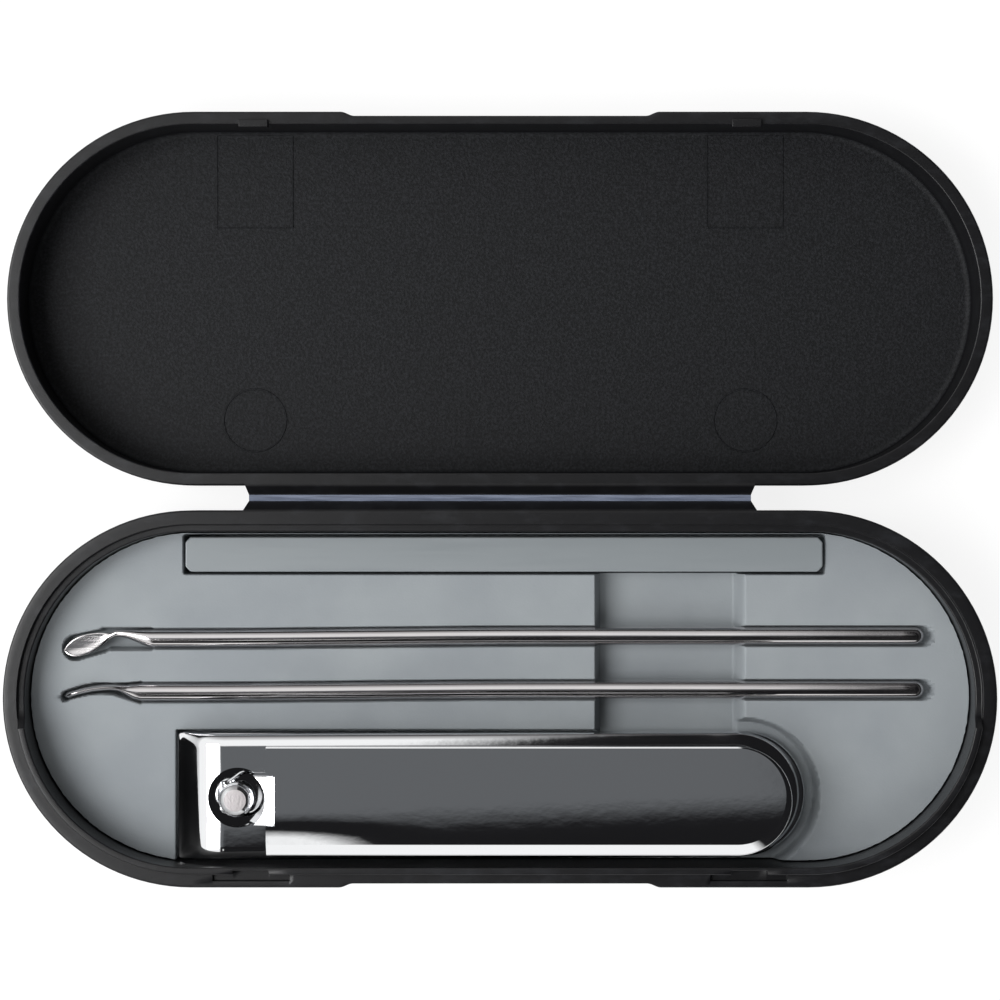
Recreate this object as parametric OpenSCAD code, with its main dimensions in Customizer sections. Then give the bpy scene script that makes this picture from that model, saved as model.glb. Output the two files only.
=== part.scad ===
// Manicure case: two round-ended shells on a moulded film hinge, a grey insert that fills the
// base, and the tools it holds: a glass file, an ear pick, a cuticle pusher and a nail clipper.
// Drawn open flat, as it lies on a table, in millimetres.
// Origin: on the table, under the middle of the hinge. +X right, +Y towards the lid, +Z up.

/* [Case shells] */
// Length of each shell
case_l = 96; // [93:1:130]
// Width of each shell
case_w = 36.4; // [35.6:0.2:48]
// Height of the base up to its ledge
base_h = 10; // [9.6:0.1:14]
// Height of the lid
lid_h = 7.4; // [6.4:0.1:12]
// Thickness of the base floor
base_floor = 1.4; // [0.8:0.1:1.8]
// Thickness of the lid floor
lid_floor = 1.3; // [0.8:0.1:2]
// Width of the flat ledge that the lid's rim closes on
ledge_w = 1.35; // [1.2:0.05:1.7]
// Thickness of the tongue inside the ledge
tongue_t = 0.7; // [0.5:0.05:1]
// Height of the tongue over the ledge, round the front half
tongue_h = 1; // [0.5:0.1:1.1]
// Depth of the step behind the ledge, round the rear half
rear_step = 0.6; // [0.3:0.1:1.2]
// Radius of the shells' outer bottom edge
foot_r = 2.6; // [1:0.1:3.5]
// Free play between lid and base, all round
seat_gap = 0.1; // [0.08:0.01:0.2]

/* [Hinge and catches] */
// Distance from the hinge line to each rear wall
hinge_gap = 1.2; // [1:0.1:2]
// Length of the hinge at its film
hinge_l = 48.6; // [30:0.2:56]
// Amount that each end of the hinge neck widens towards the wall
neck_flare = 0.5; // [0:0.1:1.5]
// Thickness of the two hinge flanges
flange_t = 0.9; // [0.6:0.1:1.4]
// Radius of the flexing film, rolled up as a bead
film_r = 0.25; // [0.15:0.01:0.3]
// Distance of each catch from the middle
catch_x = 24; // [18:0.5:27]
// Width of a catch on the lid
catch_w = 2.9; // [1.5:0.1:4]
// Width of the pocket that takes it in the base
pocket_w = 7.4; // [5:0.1:9]
// Height of the catch under the lid's rim
catch_h = 0.4; // [0.2:0.05:0.6]
// Length of the thumb recess in both front walls
thumb_l = 31; // [20:0.5:36]
// Depth of the thumb recess
thumb_d = 0.4; // [0.2:0.05:0.6]
// Length of the slope at each end of the thumb recess
thumb_slope = 1.3; // [0.5:0.1:3]

/* [Insert] */
// Height of the insert's top over the table
insert_top = 6; // [5.4:0.1:7]
// Gap between the insert and the base wall
insert_gap = 0.12; // [0.05:0.01:0.3]
// Play round the file and the rods in their slots
slot_play = 0.2; // [0.1:0.05:0.4]
// Length of the finger recess
finger_l = 14.7; // [10:0.1:18]
// Place of the finger recess's left edge
finger_x = 9.3; // [4:0.1:12]
// Thickness of insert under the finger recess
finger_floor = 1.8; // [1:0.1:2.6]

/* [Glass file] */
// Length of the file
file_l = 62.2; // [50:0.2:70]
// Thickness of the file, which stands on edge
file_t = 3.4; // [2.4:0.1:4.4]
// Height of the file on edge
file_h = 4.5; // [3.6:0.1:5.5]
// Chamfer of the file's corners
file_chamfer = 0.5; // [0.2:0.1:1.1]
// Distance of the file from the base's rear wall, inside
file_inset = 0.55; // [0.4:0.05:1.2]

/* [Rod tools] */
// Diameter of both rods
rod_d = 1.8; // [1.4:0.1:2.2]
// Distance from the base's end wall, inside, to the heads of both rods
rod_head_gap = 3.3; // [2.6:0.1:6]
// Distance from their domed ends to the other end wall
rod_tail_gap = 4.5; // [3:0.1:8]
// Distance from the clipper to the pusher's axis
pusher_gap = 4.15; // [3.6:0.05:5]
// Distance between the two rods' axes
rod_pitch = 5.25; // [4.6:0.05:6]
// Length of the ear pick's bowl
bowl_l = 5; // [3.5:0.1:6]
// Width of the ear pick's bowl
bowl_w = 2.2; // [1.8:0.1:3]
// Angle between the bowl and the rod, seen from above
bowl_turn = 16; // [0:1:20]
// Length of the pusher's thin blade
blade_l = 7; // [5:0.1:9]
// Thickness of the pusher's blade
blade_t = 0.65; // [0.4:0.05:1]
// Height of the pusher's blade, which stands on edge
blade_h = 2.8; // [2:0.1:3.2]

/* [Nail clipper] */
// Length of the lower jaw
clip_l = 61.3; // [54:0.1:66]
// Width of both jaws
clip_w = 12.2; // [10:0.1:13]
// Thickness of each jaw
jaw_t = 1.3; // [1:0.05:1.6]
// Rise of the upper jaw from its root to its lip
jaw_rise = 2.8; // [2.2:0.1:3]
// Distance of the flexing root from the clipper's rear end
root_x = 9.9; // [8:0.1:14]
// Length of the lip that bends down at the cutting end
lip_l = 4.2; // [3:0.1:4.6]
// Radius of the lip's bend
lip_r = 3.2; // [2:0.1:4]
// Angle that the lip is bent to
lip_a = 40; // [25:1:45]
// Opening between the cutting edges
edge_gap = 1.6; // [1.4:0.05:2]
// Distance of the pin from the cutting edges
pin_x = 6; // [5.4:0.1:8]
// Diameter of the pin's shaft
pin_d = 2.7; // [2.2:0.1:3]
// Diameter of the shallow dish round the pin
dish_d = 5.9; // [5:0.1:6.6]
// Diameter of the pin's head
pin_head_d = 3.3; // [3:0.1:3.4]
// Play of the pin in the lower jaw
pin_play = 0.06; // [0.02:0.01:0.1]
// Distance of the rivet from the clipper's rear end
rivet_x = 7.4; // [6.4:0.1:8]
// Diameter of the rivet's shank
rivet_d = 2; // [1.5:0.1:2.6]
// Length of the lever's handle
lever_l = 50.4; // [40:0.2:51]
// Width of the lever
lever_w = 10.4; // [8:0.1:10.8]
// Depth of the lever's turned-down edge
lever_h = 1.5; // [1.2:0.1:2.2]
// Thickness of the lever's sheet
lever_t = 0.9; // [0.6:0.05:1.1]
// Radius of the lever's turned-down edge
lever_fold = 1.1; // [0.5:0.1:1.2]
// Width of the lever's nose
nose_w = 5.2; // [5:0.1:6]

/* [Hidden] */
$fn = 72;

// The rims meet when the lid has turned half round, so the hinge line lies midway between them
rim_play = 0.05;
hinge_z = (base_h + lid_h + rim_play) / 2;
cut = 0.5; // how far a cutting body stands out past the face that it opens

wall_t = ledge_w + tongue_t;
lid_wall = ledge_w - seat_gap;
shell_y = hinge_gap + case_w / 2; // from the hinge line to each shell's middle
rear_in = -(hinge_gap + wall_t); // inner faces of the base's rear and front walls
front_in = -(hinge_gap + case_w - wall_t);
tongue_y = -(hinge_gap + case_w * 0.56); // the tongue runs round the front of this line
catch_in = 0.3; // how far the catch stands into the lid

// The file is laid out from the rear wall, the clipper and both rods from the front wall
file_y = rear_in - file_inset - file_t / 2;
file_x = 0.4;
file_z = insert_top + 0.5 - file_h;

clip_gap = 0.45; // between the clipper and the base's front wall
clip_y = front_in + clip_gap + clip_w / 2;
clip_x0 = -31.4; // cutting edges
clip_x1 = clip_x0 + clip_l; // rear end of the lower jaw
clip_z = 3.6; // floor of the clipper's pocket
jaw_z = clip_z + jaw_t + 0.03; // underside of the upper jaw at its root
root = clip_x1 - root_x;
lip_x = clip_x0 + lip_l;
jaw_top = jaw_z + jaw_rise + jaw_t;
edge_z = jaw_top - lip_drop(lip_l); // upper cutting edge
grind = 0.15; // rise of its ground face for each unit of length
pin_at = clip_x0 + pin_x;
rivet_at = clip_x1 - rivet_x;
rivet_play = 0.12;

// The rods run from one end of the case to the other
pusher_y = clip_y + clip_w / 2 + pusher_gap;
pick_y = pusher_y + rod_pitch;
rod_r = rod_d / 2;
rod_z = insert_top + 0.4 - rod_r;
rod_x0 = -(case_l / 2 - wall_t) + rod_head_gap;
rod_l = case_l - 2 * wall_t - rod_head_gap - rod_tail_gap;
trough_r = rod_r + slot_play;
bowl_drop = 0.7; // how far the bowl's middle lies to the front of the rod
pick_head = bowl_l + 3.8; // lengths of the pockets at the rods' heads
pusher_head = blade_l + 0.6;
head_floor = insert_top - 2.1;

// The lever's nose is a window whose front bar lies in a notch in the pin
bar_r = 0.5;
bar_half = 1.4;
bar_play = 0.06;
bar_x = pin_at - pin_d / 2 + 0.4;
bar_z = jaw_top + 0.2 + bar_r;
pin_top = bar_z + 2.3;
window_w = pin_head_d + 0.2;
window_r = norm([pin_at + pin_head_d / 2 - bar_x, pin_top - bar_z]) + 0.1;
lever_z = base_h + tongue_h + 0.2; // low edge of the lever, clear of the tongue as it turns
lever_x0 = pin_at + 3;
lever_x1 = lever_x0 + lever_l;

// How far the lip has come down at a distance from where it starts: an arc, then a bevel
function lip_drop(d) = let (bend = lip_r * sin(lip_a))
    d < bend ? lip_r - sqrt(lip_r * lip_r - d * d)
             : lip_r * (1 - cos(lip_a)) + (d - bend) * tan(lip_a);

// Half profile, from the middle line out, of a block with a round lower edge
module foot_profile(half, high, round) {
    intersection() {
        square([half, high]);
        union() {
            square([half - round, high]);
            translate([0, round]) square([half, high]);
            translate([half - round, round]) circle(round);
        }
    }
}

// A long body with round ends, from its half profile
module stadium(long, wide) {
    straight = long - wide;
    for (side = [-1, 1])
        translate([side * straight / 2, 0, 0])
            rotate([0, 0, -90 * side]) rotate_extrude(angle = 180) children();
    rotate([90, 0, 90]) linear_extrude(straight, center = true) {
        children();
        mirror([1, 0]) children();
    }
}

// Straight-sided body with round ends, set in from the shell's outline
module inset_block(inset, z0, z1) {
    long = case_l - 2 * inset;
    wide = case_w - 2 * inset;
    translate([0, 0, z0]) linear_extrude(z1 - z0) {
        square([long - wide, wide], center = true);
        for (side = [-1, 1]) translate([side * (long - wide) / 2, 0]) circle(wide / 2);
    }
}

// One open shell with its rounded foot, centred on its own middle. A lip of a given height
// stands on the wall's inner part
module shell(high, wall, floor_t, lip_t, lip_h) {
    inner_r = max(0.4, foot_r - wall);
    half = case_w / 2;
    stadium(case_l, case_w) difference() {
        union() {
            foot_profile(half, high, foot_r);
            square([half - wall + lip_t, high + lip_h]);
        }
        translate([0, floor_t]) foot_profile(half - wall, 2 * high, inner_r);
    }
}

// Cuts the shallow thumb recess into the front wall
module thumb_cut(high) {
    out = thumb_l / 2;
    in = out - thumb_slope;
    face = case_w / 2;
    translate([0, 0, -cut]) linear_extrude(high + 2 * cut)
        polygon([[-out, -face - cut], [out, -face - cut], [out, -face],
                 [in, -face + thumb_d], [-in, -face + thumb_d], [-out, -face]]);
}

// Half of the hinge neck, from the rear wall to the film, on the base's side
module flange(rim) {
    low = hinge_z - flange_t;
    intersection() {
        rotate([90, 0, 90]) linear_extrude(hinge_l + 4 * neck_flare + 1, center = true)
            polygon([[-film_r - 0.05, hinge_z - 0.02], [-hinge_gap, rim], [-hinge_gap - 0.5, rim],
                     [-hinge_gap - 0.5, min(low, rim) - 1.2], [-film_r - 0.05, low]]);
        half = hinge_l / 2;
        linear_extrude(2 * hinge_z)
            polygon([[-half, 0], [half, 0],
                     [half + neck_flare, -hinge_gap - 0.5], [-half - neck_flare, -hinge_gap - 0.5]]);
    }
}

module case_base() {
    color("#1d1e21") difference() {
        union() {
            translate([0, -shell_y, 0]) shell(base_h, wall_t, base_floor, tongue_t, tongue_h);
            flange(base_h);
        }
        // The tongue ends short of the hinge, and round the rear a step takes its place
        translate([-case_l, tongue_y, base_h]) cube([2 * case_l, case_w, base_h]);
        rear_cut();
        for (side = [-1, 1]) catch_pocket(side * catch_x);
        translate([0, -shell_y, 0]) thumb_cut(base_h);
    }
}

// The step behind the ledge, round the rear half
module rear_cut() {
    intersection() {
        translate([0, -shell_y, 0]) inset_block(ledge_w, base_h - rear_step, base_h + cut);
        translate([-case_l, tongue_y, 0]) cube([2 * case_l, case_w, 2 * base_h]);
    }
}

// Pocket in the ledge and notch in the tongue, where a catch goes down
module catch_pocket(at) {
    face = -(hinge_gap + case_w - ledge_w);
    deep = catch_h + 0.2;
    translate([at - pocket_w / 2, face - 0.7, base_h - deep]) cube([pocket_w, 0.7, base_h]);
    notch_w = catch_w + 0.6;
    translate([at - notch_w / 2, face - 0.1, base_h - deep])
        cube([notch_w, catch_in - seat_gap + 0.3, base_h]);
}

module case_lid() {
    rim = lid_h;
    inner = hinge_gap + case_w - lid_wall;
    color("#1d1e21") {
        mirror([0, 1, 0]) {
            difference() {
                translate([0, -shell_y, 0]) shell(rim, lid_wall, lid_floor, 0, 0);
                translate([0, -shell_y, 0]) thumb_cut(rim);
            }
            flange(rim);
        }
        for (side = [-1, 1])
            translate([side * catch_x - catch_w / 2, inner - catch_in, rim - 2 * catch_h])
                cube([catch_w, catch_in + 0.45, 3 * catch_h]);
    }
}

// The thin strip that bends, on the hinge line
module hinge_film() {
    color("#3a3e48") translate([-hinge_l / 2, 0, hinge_z])
        rotate([0, 90, 0]) cylinder(r = film_r, h = hinge_l);
}

// Grey moulded insert: slots for the tools, a finger recess and the clipper's pocket
module insert() {
    inset = wall_t + insert_gap;
    high = insert_top - base_floor;
    inner_r = max(0.4, foot_r - wall_t);
    color("#8e9498") difference() {
        translate([0, -shell_y, base_floor])
            stadium(case_l - 2 * inset, case_w - 2 * inset)
                foot_profile(case_w / 2 - inset, high, inner_r);
        file_slot();
        rod_slot(pick_y, pick_head);
        rod_slot(pusher_y, pusher_head);
        pick_pocket();
        pusher_pocket();
        finger_recess();
        clipper_pocket();
    }
}

module file_slot() {
    translate([file_x - file_l / 2 - slot_play, file_y - file_t / 2 - 2 * slot_play, file_z])
        cube([file_l + 2 * slot_play, file_t + 3 * slot_play, insert_top]);
}

// Round-bottomed slot along a rod, from the pocket at its head to its domed end
module rod_slot(y, head_l) {
    neck = rod_x0 - slot_play + head_l;
    last = rod_x0 + rod_l + 0.8 - trough_r;
    translate([neck, y, rod_z]) {
        rotate([0, 90, 0]) cylinder(r = trough_r, h = last - neck);
        translate([0, -trough_r, 0]) cube([last - neck, 2 * trough_r, insert_top]);
    }
    translate([last, y, rod_z]) {
        sphere(trough_r);
        cylinder(r = trough_r, h = insert_top);
    }
}

// Pocket that follows the ear pick's bowl and neck
module pick_pocket() {
    tip_r = bowl_w / 2 + 0.15;
    neck_r = bowl_w / 2 + 0.35;
    neck = rod_x0 - slot_play + pick_head;
    middle = rod_x0 + bowl_l - neck_r;
    translate([0, pick_y, head_floor]) linear_extrude(insert_top) {
        hull() {
            translate([rod_x0 + tip_r - 0.1, -bowl_drop - 0.5]) circle(tip_r);
            translate([middle, -0.65]) circle(neck_r);
        }
        translate([middle, -1.6]) square([neck - middle + 0.1, 1.6 + trough_r]);
    }
}

// Pocket that follows the pusher's bent blade
module pusher_pocket() {
    neck = rod_x0 - slot_play + pusher_head;
    from = rod_x0 + blade_l * 0.7;
    side = blade_t / 2 + slot_play;
    translate([0, pusher_y, head_floor]) linear_extrude(insert_top) {
        polygon(blade_outline(slot_play));
        translate([rod_x0 + 0.2, blade_y(1)]) circle(blade_t / 3 + slot_play);
        polygon([[from, blade_y(0.3) - side], [neck + 0.1, -trough_r],
                 [neck + 0.1, trough_r], [from, blade_y(0.3) + side]]);
    }
}

module finger_recess() {
    floor_z = base_floor + finger_floor;
    right = finger_x + finger_l;
    back = file_y - file_t / 2 - slot_play;
    front = clip_y + clip_w / 2;
    translate([0, back, 0]) rotate([90, 0, 0]) linear_extrude(back - front)
        polygon([[finger_x, floor_z], [right - 1.1, floor_z], [right, insert_top + cut],
                 [finger_x, insert_top + cut]]);
}

module clipper_pocket() {
    round_r = clip_w / 2 + 1.2;
    middle = clip_x1 - clip_w / 2;
    translate([0, 0, clip_z]) linear_extrude(insert_top) {
        translate([middle, clip_y]) circle(round_r);
        translate([clip_x0 - 0.3, front_in - case_w])
            square([middle - clip_x0 + 0.3, clip_y + clip_w / 2 + 0.25 - front_in + case_w]);
    }
}

module glass_file() {
    half = file_l / 2;
    side = file_t / 2;
    c = file_chamfer;
    color("#9fb3ac", 0.6) translate([file_x, file_y, file_z]) linear_extrude(file_h)
        polygon([[-half + c, -side], [half - c, -side], [half, c - side], [half, side - c],
                 [half - c, side], [-half + c, side], [-half, side - c], [-half, c - side]]);
}

// Rod with a domed end, from where its head starts
module rod(from) {
    last = rod_x0 + rod_l - rod_r;
    translate([from, 0, 0]) rotate([0, 90, 0]) cylinder(r = rod_r, h = last - from);
    translate([last, 0, 0]) sphere(rod_r);
}

module ear_pick() {
    bowl_x = rod_x0 + bowl_l / 2;
    neck_x = rod_x0 + bowl_l + 2.2;
    color("#9a9ca0") translate([0, pick_y, rod_z]) {
        rod(neck_x);
        hull() {
            translate([neck_x + 0.1, 0, 0]) sphere(rod_r, $fn = 24);
            translate([rod_x0 + bowl_l - 0.3, 0.1, 0]) sphere(0.45, $fn = 24);
        }
        translate([bowl_x, -bowl_drop, 0]) rotate([25, 0, bowl_turn]) difference() {
            resize([bowl_l, bowl_w, 1.5]) sphere(1, $fn = 32);
            translate([-0.15, 0, 0.65]) resize([bowl_l - 0.8, bowl_w - 0.6, 1.7]) sphere(1, $fn = 32);
        }
    }
}

// The blade's middle line in plan, at a share of its length from the neck, and its outline
function blade_y(t) = 0.35 * sin(180 * t) - 0.65 * t * t;

function blade_outline(more) =
    let (steps = 12, side = [for (i = [0:steps]) blade_t * (1 - 0.35 * i / steps) / 2 + more])
    concat([for (i = [0:steps]) [rod_x0 + blade_l * (1 - i / steps), blade_y(i / steps) + side[i]]],
           [for (i = [steps:-1:0]) [rod_x0 + blade_l * (1 - i / steps), blade_y(i / steps) - side[i]]]);

module cuticle_pusher() {
    neck_x = rod_x0 + blade_l + 0.23 * blade_l;
    color("#9a9ca0") translate([0, pusher_y, rod_z]) {
        rod(neck_x);
        hull() {
            translate([neck_x + 0.1, 0, 0]) sphere(rod_r, $fn = 24);
            translate([rod_x0 + blade_l - 0.3, -blade_t / 2, -rod_r * 0.7])
                cube([0.7, blade_t, rod_r * 1.4]);
        }
        // The blade stands on edge: its curve in plan, and a rounded outline from the side
        intersection() {
            translate([0, 0, -blade_h]) linear_extrude(2 * blade_h) polygon(blade_outline(0));
            rotate([90, 0, 0]) linear_extrude(6, center = true) {
                translate([rod_x0 + blade_h / 2, 0]) circle(blade_h / 2);
                polygon([[rod_x0 + blade_h / 2, blade_h / 2], [rod_x0 + blade_l + 0.3, rod_r * 0.7],
                         [rod_x0 + blade_l + 0.3, -rod_r * 0.7], [rod_x0 + blade_h / 2, -blade_h / 2]]);
            }
        }
    }
}

// Plan of a jaw: square cutting end, round rear end
module jaw_plan(rear) {
    round_r = clip_w / 2;
    translate([rear - round_r, clip_y]) circle(round_r);
    translate([clip_x0, clip_y - round_r]) square([rear - round_r - clip_x0, clip_w]);
}

// A jaw from its side profile and its plan
module jaw(rear) {
    intersection() {
        translate([0, clip_y + clip_w, 0]) rotate([90, 0, 0]) linear_extrude(2 * clip_w) children();
        linear_extrude(4 * base_h) jaw_plan(rear);
    }
}

module clipper_lower_jaw() {
    top = clip_z + jaw_t;
    edge = edge_z - edge_gap;
    steps = 8;
    chin = [for (i = [0:steps]) let (a = 90 * i / steps)
        [clip_x0 + lip_l * (1 - sin(a)), clip_z + (edge - clip_z) * (1 - cos(a))]];
    color("#b9bcc0") difference() {
        jaw(clip_x1) polygon(concat([[clip_x1, clip_z]], chin,
            [[clip_x0 + 0.15, edge], [clip_x0 + 1.6, top], [clip_x1, top]]));
        translate([pin_at, clip_y, 0]) cylinder(d = pin_d + 2 * pin_play, h = 2 * base_h);
        translate([pin_at, clip_y, clip_z - 0.01])
            cylinder(r1 = pin_foot_r() + pin_play, r2 = pin_d / 2 + pin_play, h = 0.9);
        translate([rivet_at, clip_y, 0]) cylinder(d = rivet_d, h = 2 * base_h);
    }
}

function pin_foot_r() = pin_d / 2 + 0.85;

module clipper_upper_jaw() {
    steps = 10;
    rear = clip_x1 - 0.6;
    lip = [for (i = [0:steps]) let (d = lip_l * i / steps) [lip_x - d, jaw_top - lip_drop(d)]];
    // The inner face follows the lip, and near the cutting edge it is ground almost level
    inner = [for (i = [steps:-1:0]) let (d = (lip_l - 0.15) * i / steps)
        [lip_x - d, max(jaw_top - jaw_t - lip_drop(d), edge_z + grind * (lip_l - d))]];
    color("#b9bcc0") difference() {
        jaw(rear) polygon(concat([[rear, jaw_z + jaw_t], [root, jaw_z + jaw_t]], lip, inner,
            [[root, jaw_z], [rear, jaw_z]]));
        // Hole with a shallow dish round it
        translate([pin_at, clip_y, 0]) cylinder(d = pin_d + 0.7, h = 2 * base_h);
        translate([pin_at, clip_y, jaw_top - 0.4])
            cylinder(d1 = pin_d + 0.7, d2 = dish_d, h = 0.45);
        translate([rivet_at, clip_y, 0]) cylinder(d = rivet_d + 2 * rivet_play, h = 2 * base_h);
    }
}

// Rivet that holds the two roots together, its head just over the upper jaw
module clipper_rivet() {
    head_z = jaw_z + jaw_t + rivet_play;
    color("#a7aaae") translate([rivet_at, clip_y, 0]) {
        translate([0, 0, clip_z]) cylinder(d = rivet_d, h = head_z - clip_z + 0.1);
        translate([0, 0, head_z]) cylinder(d = rivet_d + 1.6, h = 0.35);
        translate([0, 0, head_z + 0.35]) cylinder(r1 = rivet_d / 2 + 0.8, r2 = rivet_d / 2 + 0.2, h = 0.3);
    }
}

// Pin through both jaws, with a notch in front that takes the lever's bar
module clipper_pin() {
    notch = bar_r + bar_play;
    color("#d5d7da") difference() {
        translate([pin_at, clip_y, 0]) {
            translate([0, 0, clip_z + 0.05]) cylinder(d = pin_d, h = bar_z - clip_z);
            translate([0, 0, clip_z + 0.05]) cylinder(r1 = pin_foot_r(), r2 = pin_d / 2, h = 0.9);
            translate([0, 0, bar_z]) cylinder(d = pin_d, h = notch + 0.1);
            translate([0, 0, bar_z + notch]) cylinder(d = pin_head_d, h = pin_top - bar_z - notch - 0.6);
            translate([0, 0, pin_top - 0.6])
                cylinder(r1 = pin_head_d / 2, r2 = pin_head_d / 2 - 0.55, h = 0.6);
        }
        translate([bar_x, clip_y, bar_z]) {
            rotate([90, 0, 0]) cylinder(r = notch, h = 2 * pin_d, center = true);
            translate([-2 * pin_d, -pin_d, -notch]) cube([2 * pin_d, 2 * pin_d, 2 * notch]);
        }
    }
}

// Lever: a pressed sheet with turned-down edges and a round end, and a nose with a window
module clipper_lever() {
    top = lever_z + lever_h;
    round_r = lever_w / 2;
    in_r = round_r - lever_t;
    middle = lever_x1 - round_r;
    color("#b9bcc0") translate([0, clip_y, 0]) {
        difference() {
            lever_body(lever_x0, middle, round_r, lever_z, top, lever_fold);
            lever_body(lever_x0 - 2, middle, in_r, lever_z - 2, top - lever_t, 0.3);
        }
        difference() {
            union() {
                nose_plate();
                nose_step(top);
            }
            // Window that lets the pin's head through as the lever lifts
            near = bar_x + 1.45;
            far = bar_x + window_r - window_w / 2;
            linear_extrude(4 * base_h) {
                for (x = [near, far]) translate([x, 0]) circle(window_w / 2);
                translate([near, -window_w / 2]) square([far - near, window_w]);
            }
        }
        translate([bar_x, 0, bar_z]) rotate([90, 0, 0])
            cylinder(r = bar_r, h = 2 * bar_half, center = true);
    }
}

// Long body, square in front and round behind, with a rounded top edge
module lever_body(from, middle, half, z0, z1, edge_r) {
    module profile() mirror([0, 1]) foot_profile(half, z1 - z0, edge_r);
    translate([middle, 0, z1]) rotate([0, 0, -90]) rotate_extrude(angle = 180) profile();
    translate([from, 0, z1]) rotate([90, 0, 90]) linear_extrude(middle - from) {
        profile();
        mirror([1, 0]) profile();
    }
}

// Flat eye round the pin, drawn in towards its bar
module nose_plate() {
    back = lever_x0 + 1.4;
    half = nose_w / 2;
    fork = bar_x + 1.6;
    translate([0, 0, bar_z - bar_r]) linear_extrude(2 * bar_r)
        polygon([[bar_x, -bar_half], [fork, -half], [back, -half],
                 [back, half], [fork, half], [bar_x, bar_half]]);
}

// The fold that carries the nose up to the handle
module nose_step(top) {
    high = bar_z + bar_r;
    translate([0, nose_w / 2, 0]) rotate([90, 0, 0]) linear_extrude(nose_w)
        polygon([[lever_x0 + 0.1, bar_z - bar_r], [lever_x0 + 1.4, bar_z - bar_r],
                 [lever_x0 + 2.6, top - lever_t], [lever_x0 + 2.6, top - 0.1],
                 [lever_x0 + 0.9, top - 0.1], [lever_x0 - 0.3, high + 0.3], [lever_x0 - 0.3, high]]);
}

case_base();
case_lid();
hinge_film();
insert();
glass_file();
ear_pick();
cuticle_pusher();
clipper_lower_jaw();
clipper_upper_jaw();
clipper_rivet();
clipper_pin();
clipper_lever();
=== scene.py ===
import math

import bmesh
import bpy
from mathutils import Matrix, Vector, noise


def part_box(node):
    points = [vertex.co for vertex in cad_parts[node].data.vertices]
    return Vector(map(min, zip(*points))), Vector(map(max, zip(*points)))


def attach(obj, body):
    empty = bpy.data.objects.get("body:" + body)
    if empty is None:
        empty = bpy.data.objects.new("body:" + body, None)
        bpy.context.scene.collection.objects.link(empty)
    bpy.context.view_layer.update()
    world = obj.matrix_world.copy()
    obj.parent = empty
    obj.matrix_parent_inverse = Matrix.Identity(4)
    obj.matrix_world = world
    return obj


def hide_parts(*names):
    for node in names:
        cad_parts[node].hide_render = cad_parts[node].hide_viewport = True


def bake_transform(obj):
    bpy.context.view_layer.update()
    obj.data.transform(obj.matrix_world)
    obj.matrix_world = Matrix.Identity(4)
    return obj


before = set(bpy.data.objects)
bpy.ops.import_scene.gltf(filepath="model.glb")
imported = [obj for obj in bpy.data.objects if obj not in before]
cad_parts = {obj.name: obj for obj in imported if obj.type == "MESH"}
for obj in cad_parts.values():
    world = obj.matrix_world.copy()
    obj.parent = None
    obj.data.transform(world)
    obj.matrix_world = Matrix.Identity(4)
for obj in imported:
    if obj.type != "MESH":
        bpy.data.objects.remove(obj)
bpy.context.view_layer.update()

bl_info = {
    "name": "Manicure case",
    "version": (1, 0, 0),
    "blender": (4, 5, 0),
    "location": "View3D > Sidebar > Manicure case",
    "description": "A pocket manicure case, open flat, with its steel and glass tools",
    "category": "Object",
}

MM = 0.001


def node_box(node):
    """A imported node's lowest and highest corners, in millimetres."""
    low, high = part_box(node)
    return Vector(low) / MM, Vector(high) / MM


BASE_LOW, BASE_HIGH = node_box("case_base")
LID_LOW, LID_HIGH = node_box("case_lid")
FILE_LOW, FILE_HIGH = node_box("glass_file")
PICK_LOW, PICK_HIGH = node_box("ear_pick")
PUSHER_LOW, PUSHER_HIGH = node_box("cuticle_pusher")
LOWER_LOW, LOWER_HIGH = node_box("clipper_lower_jaw")
UPPER_LOW, UPPER_HIGH = node_box("clipper_upper_jaw")
LEVER_LOW, LEVER_HIGH = node_box("clipper_lever")
PIN_LOW, PIN_HIGH = node_box("clipper_pin")
RIVET_LOW, RIVET_HIGH = node_box("clipper_rivet")
INSERT_LOW, INSERT_HIGH = node_box("insert")
FILM_LOW, FILM_HIGH = node_box("hinge_film")


# ---------------------------------------------------------------- settings


def length(name, default, description):
    """A size in millimetres, as a property of the add-on."""
    return bpy.props.FloatProperty(name=name, default=default, min=0.0, precision=3,
                                   description=description + ", in millimetres")


def colour(name, default, description):
    """An sRGB hex colour, as a property of the add-on."""
    return bpy.props.StringProperty(name=name, default=default, description=description)


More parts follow.
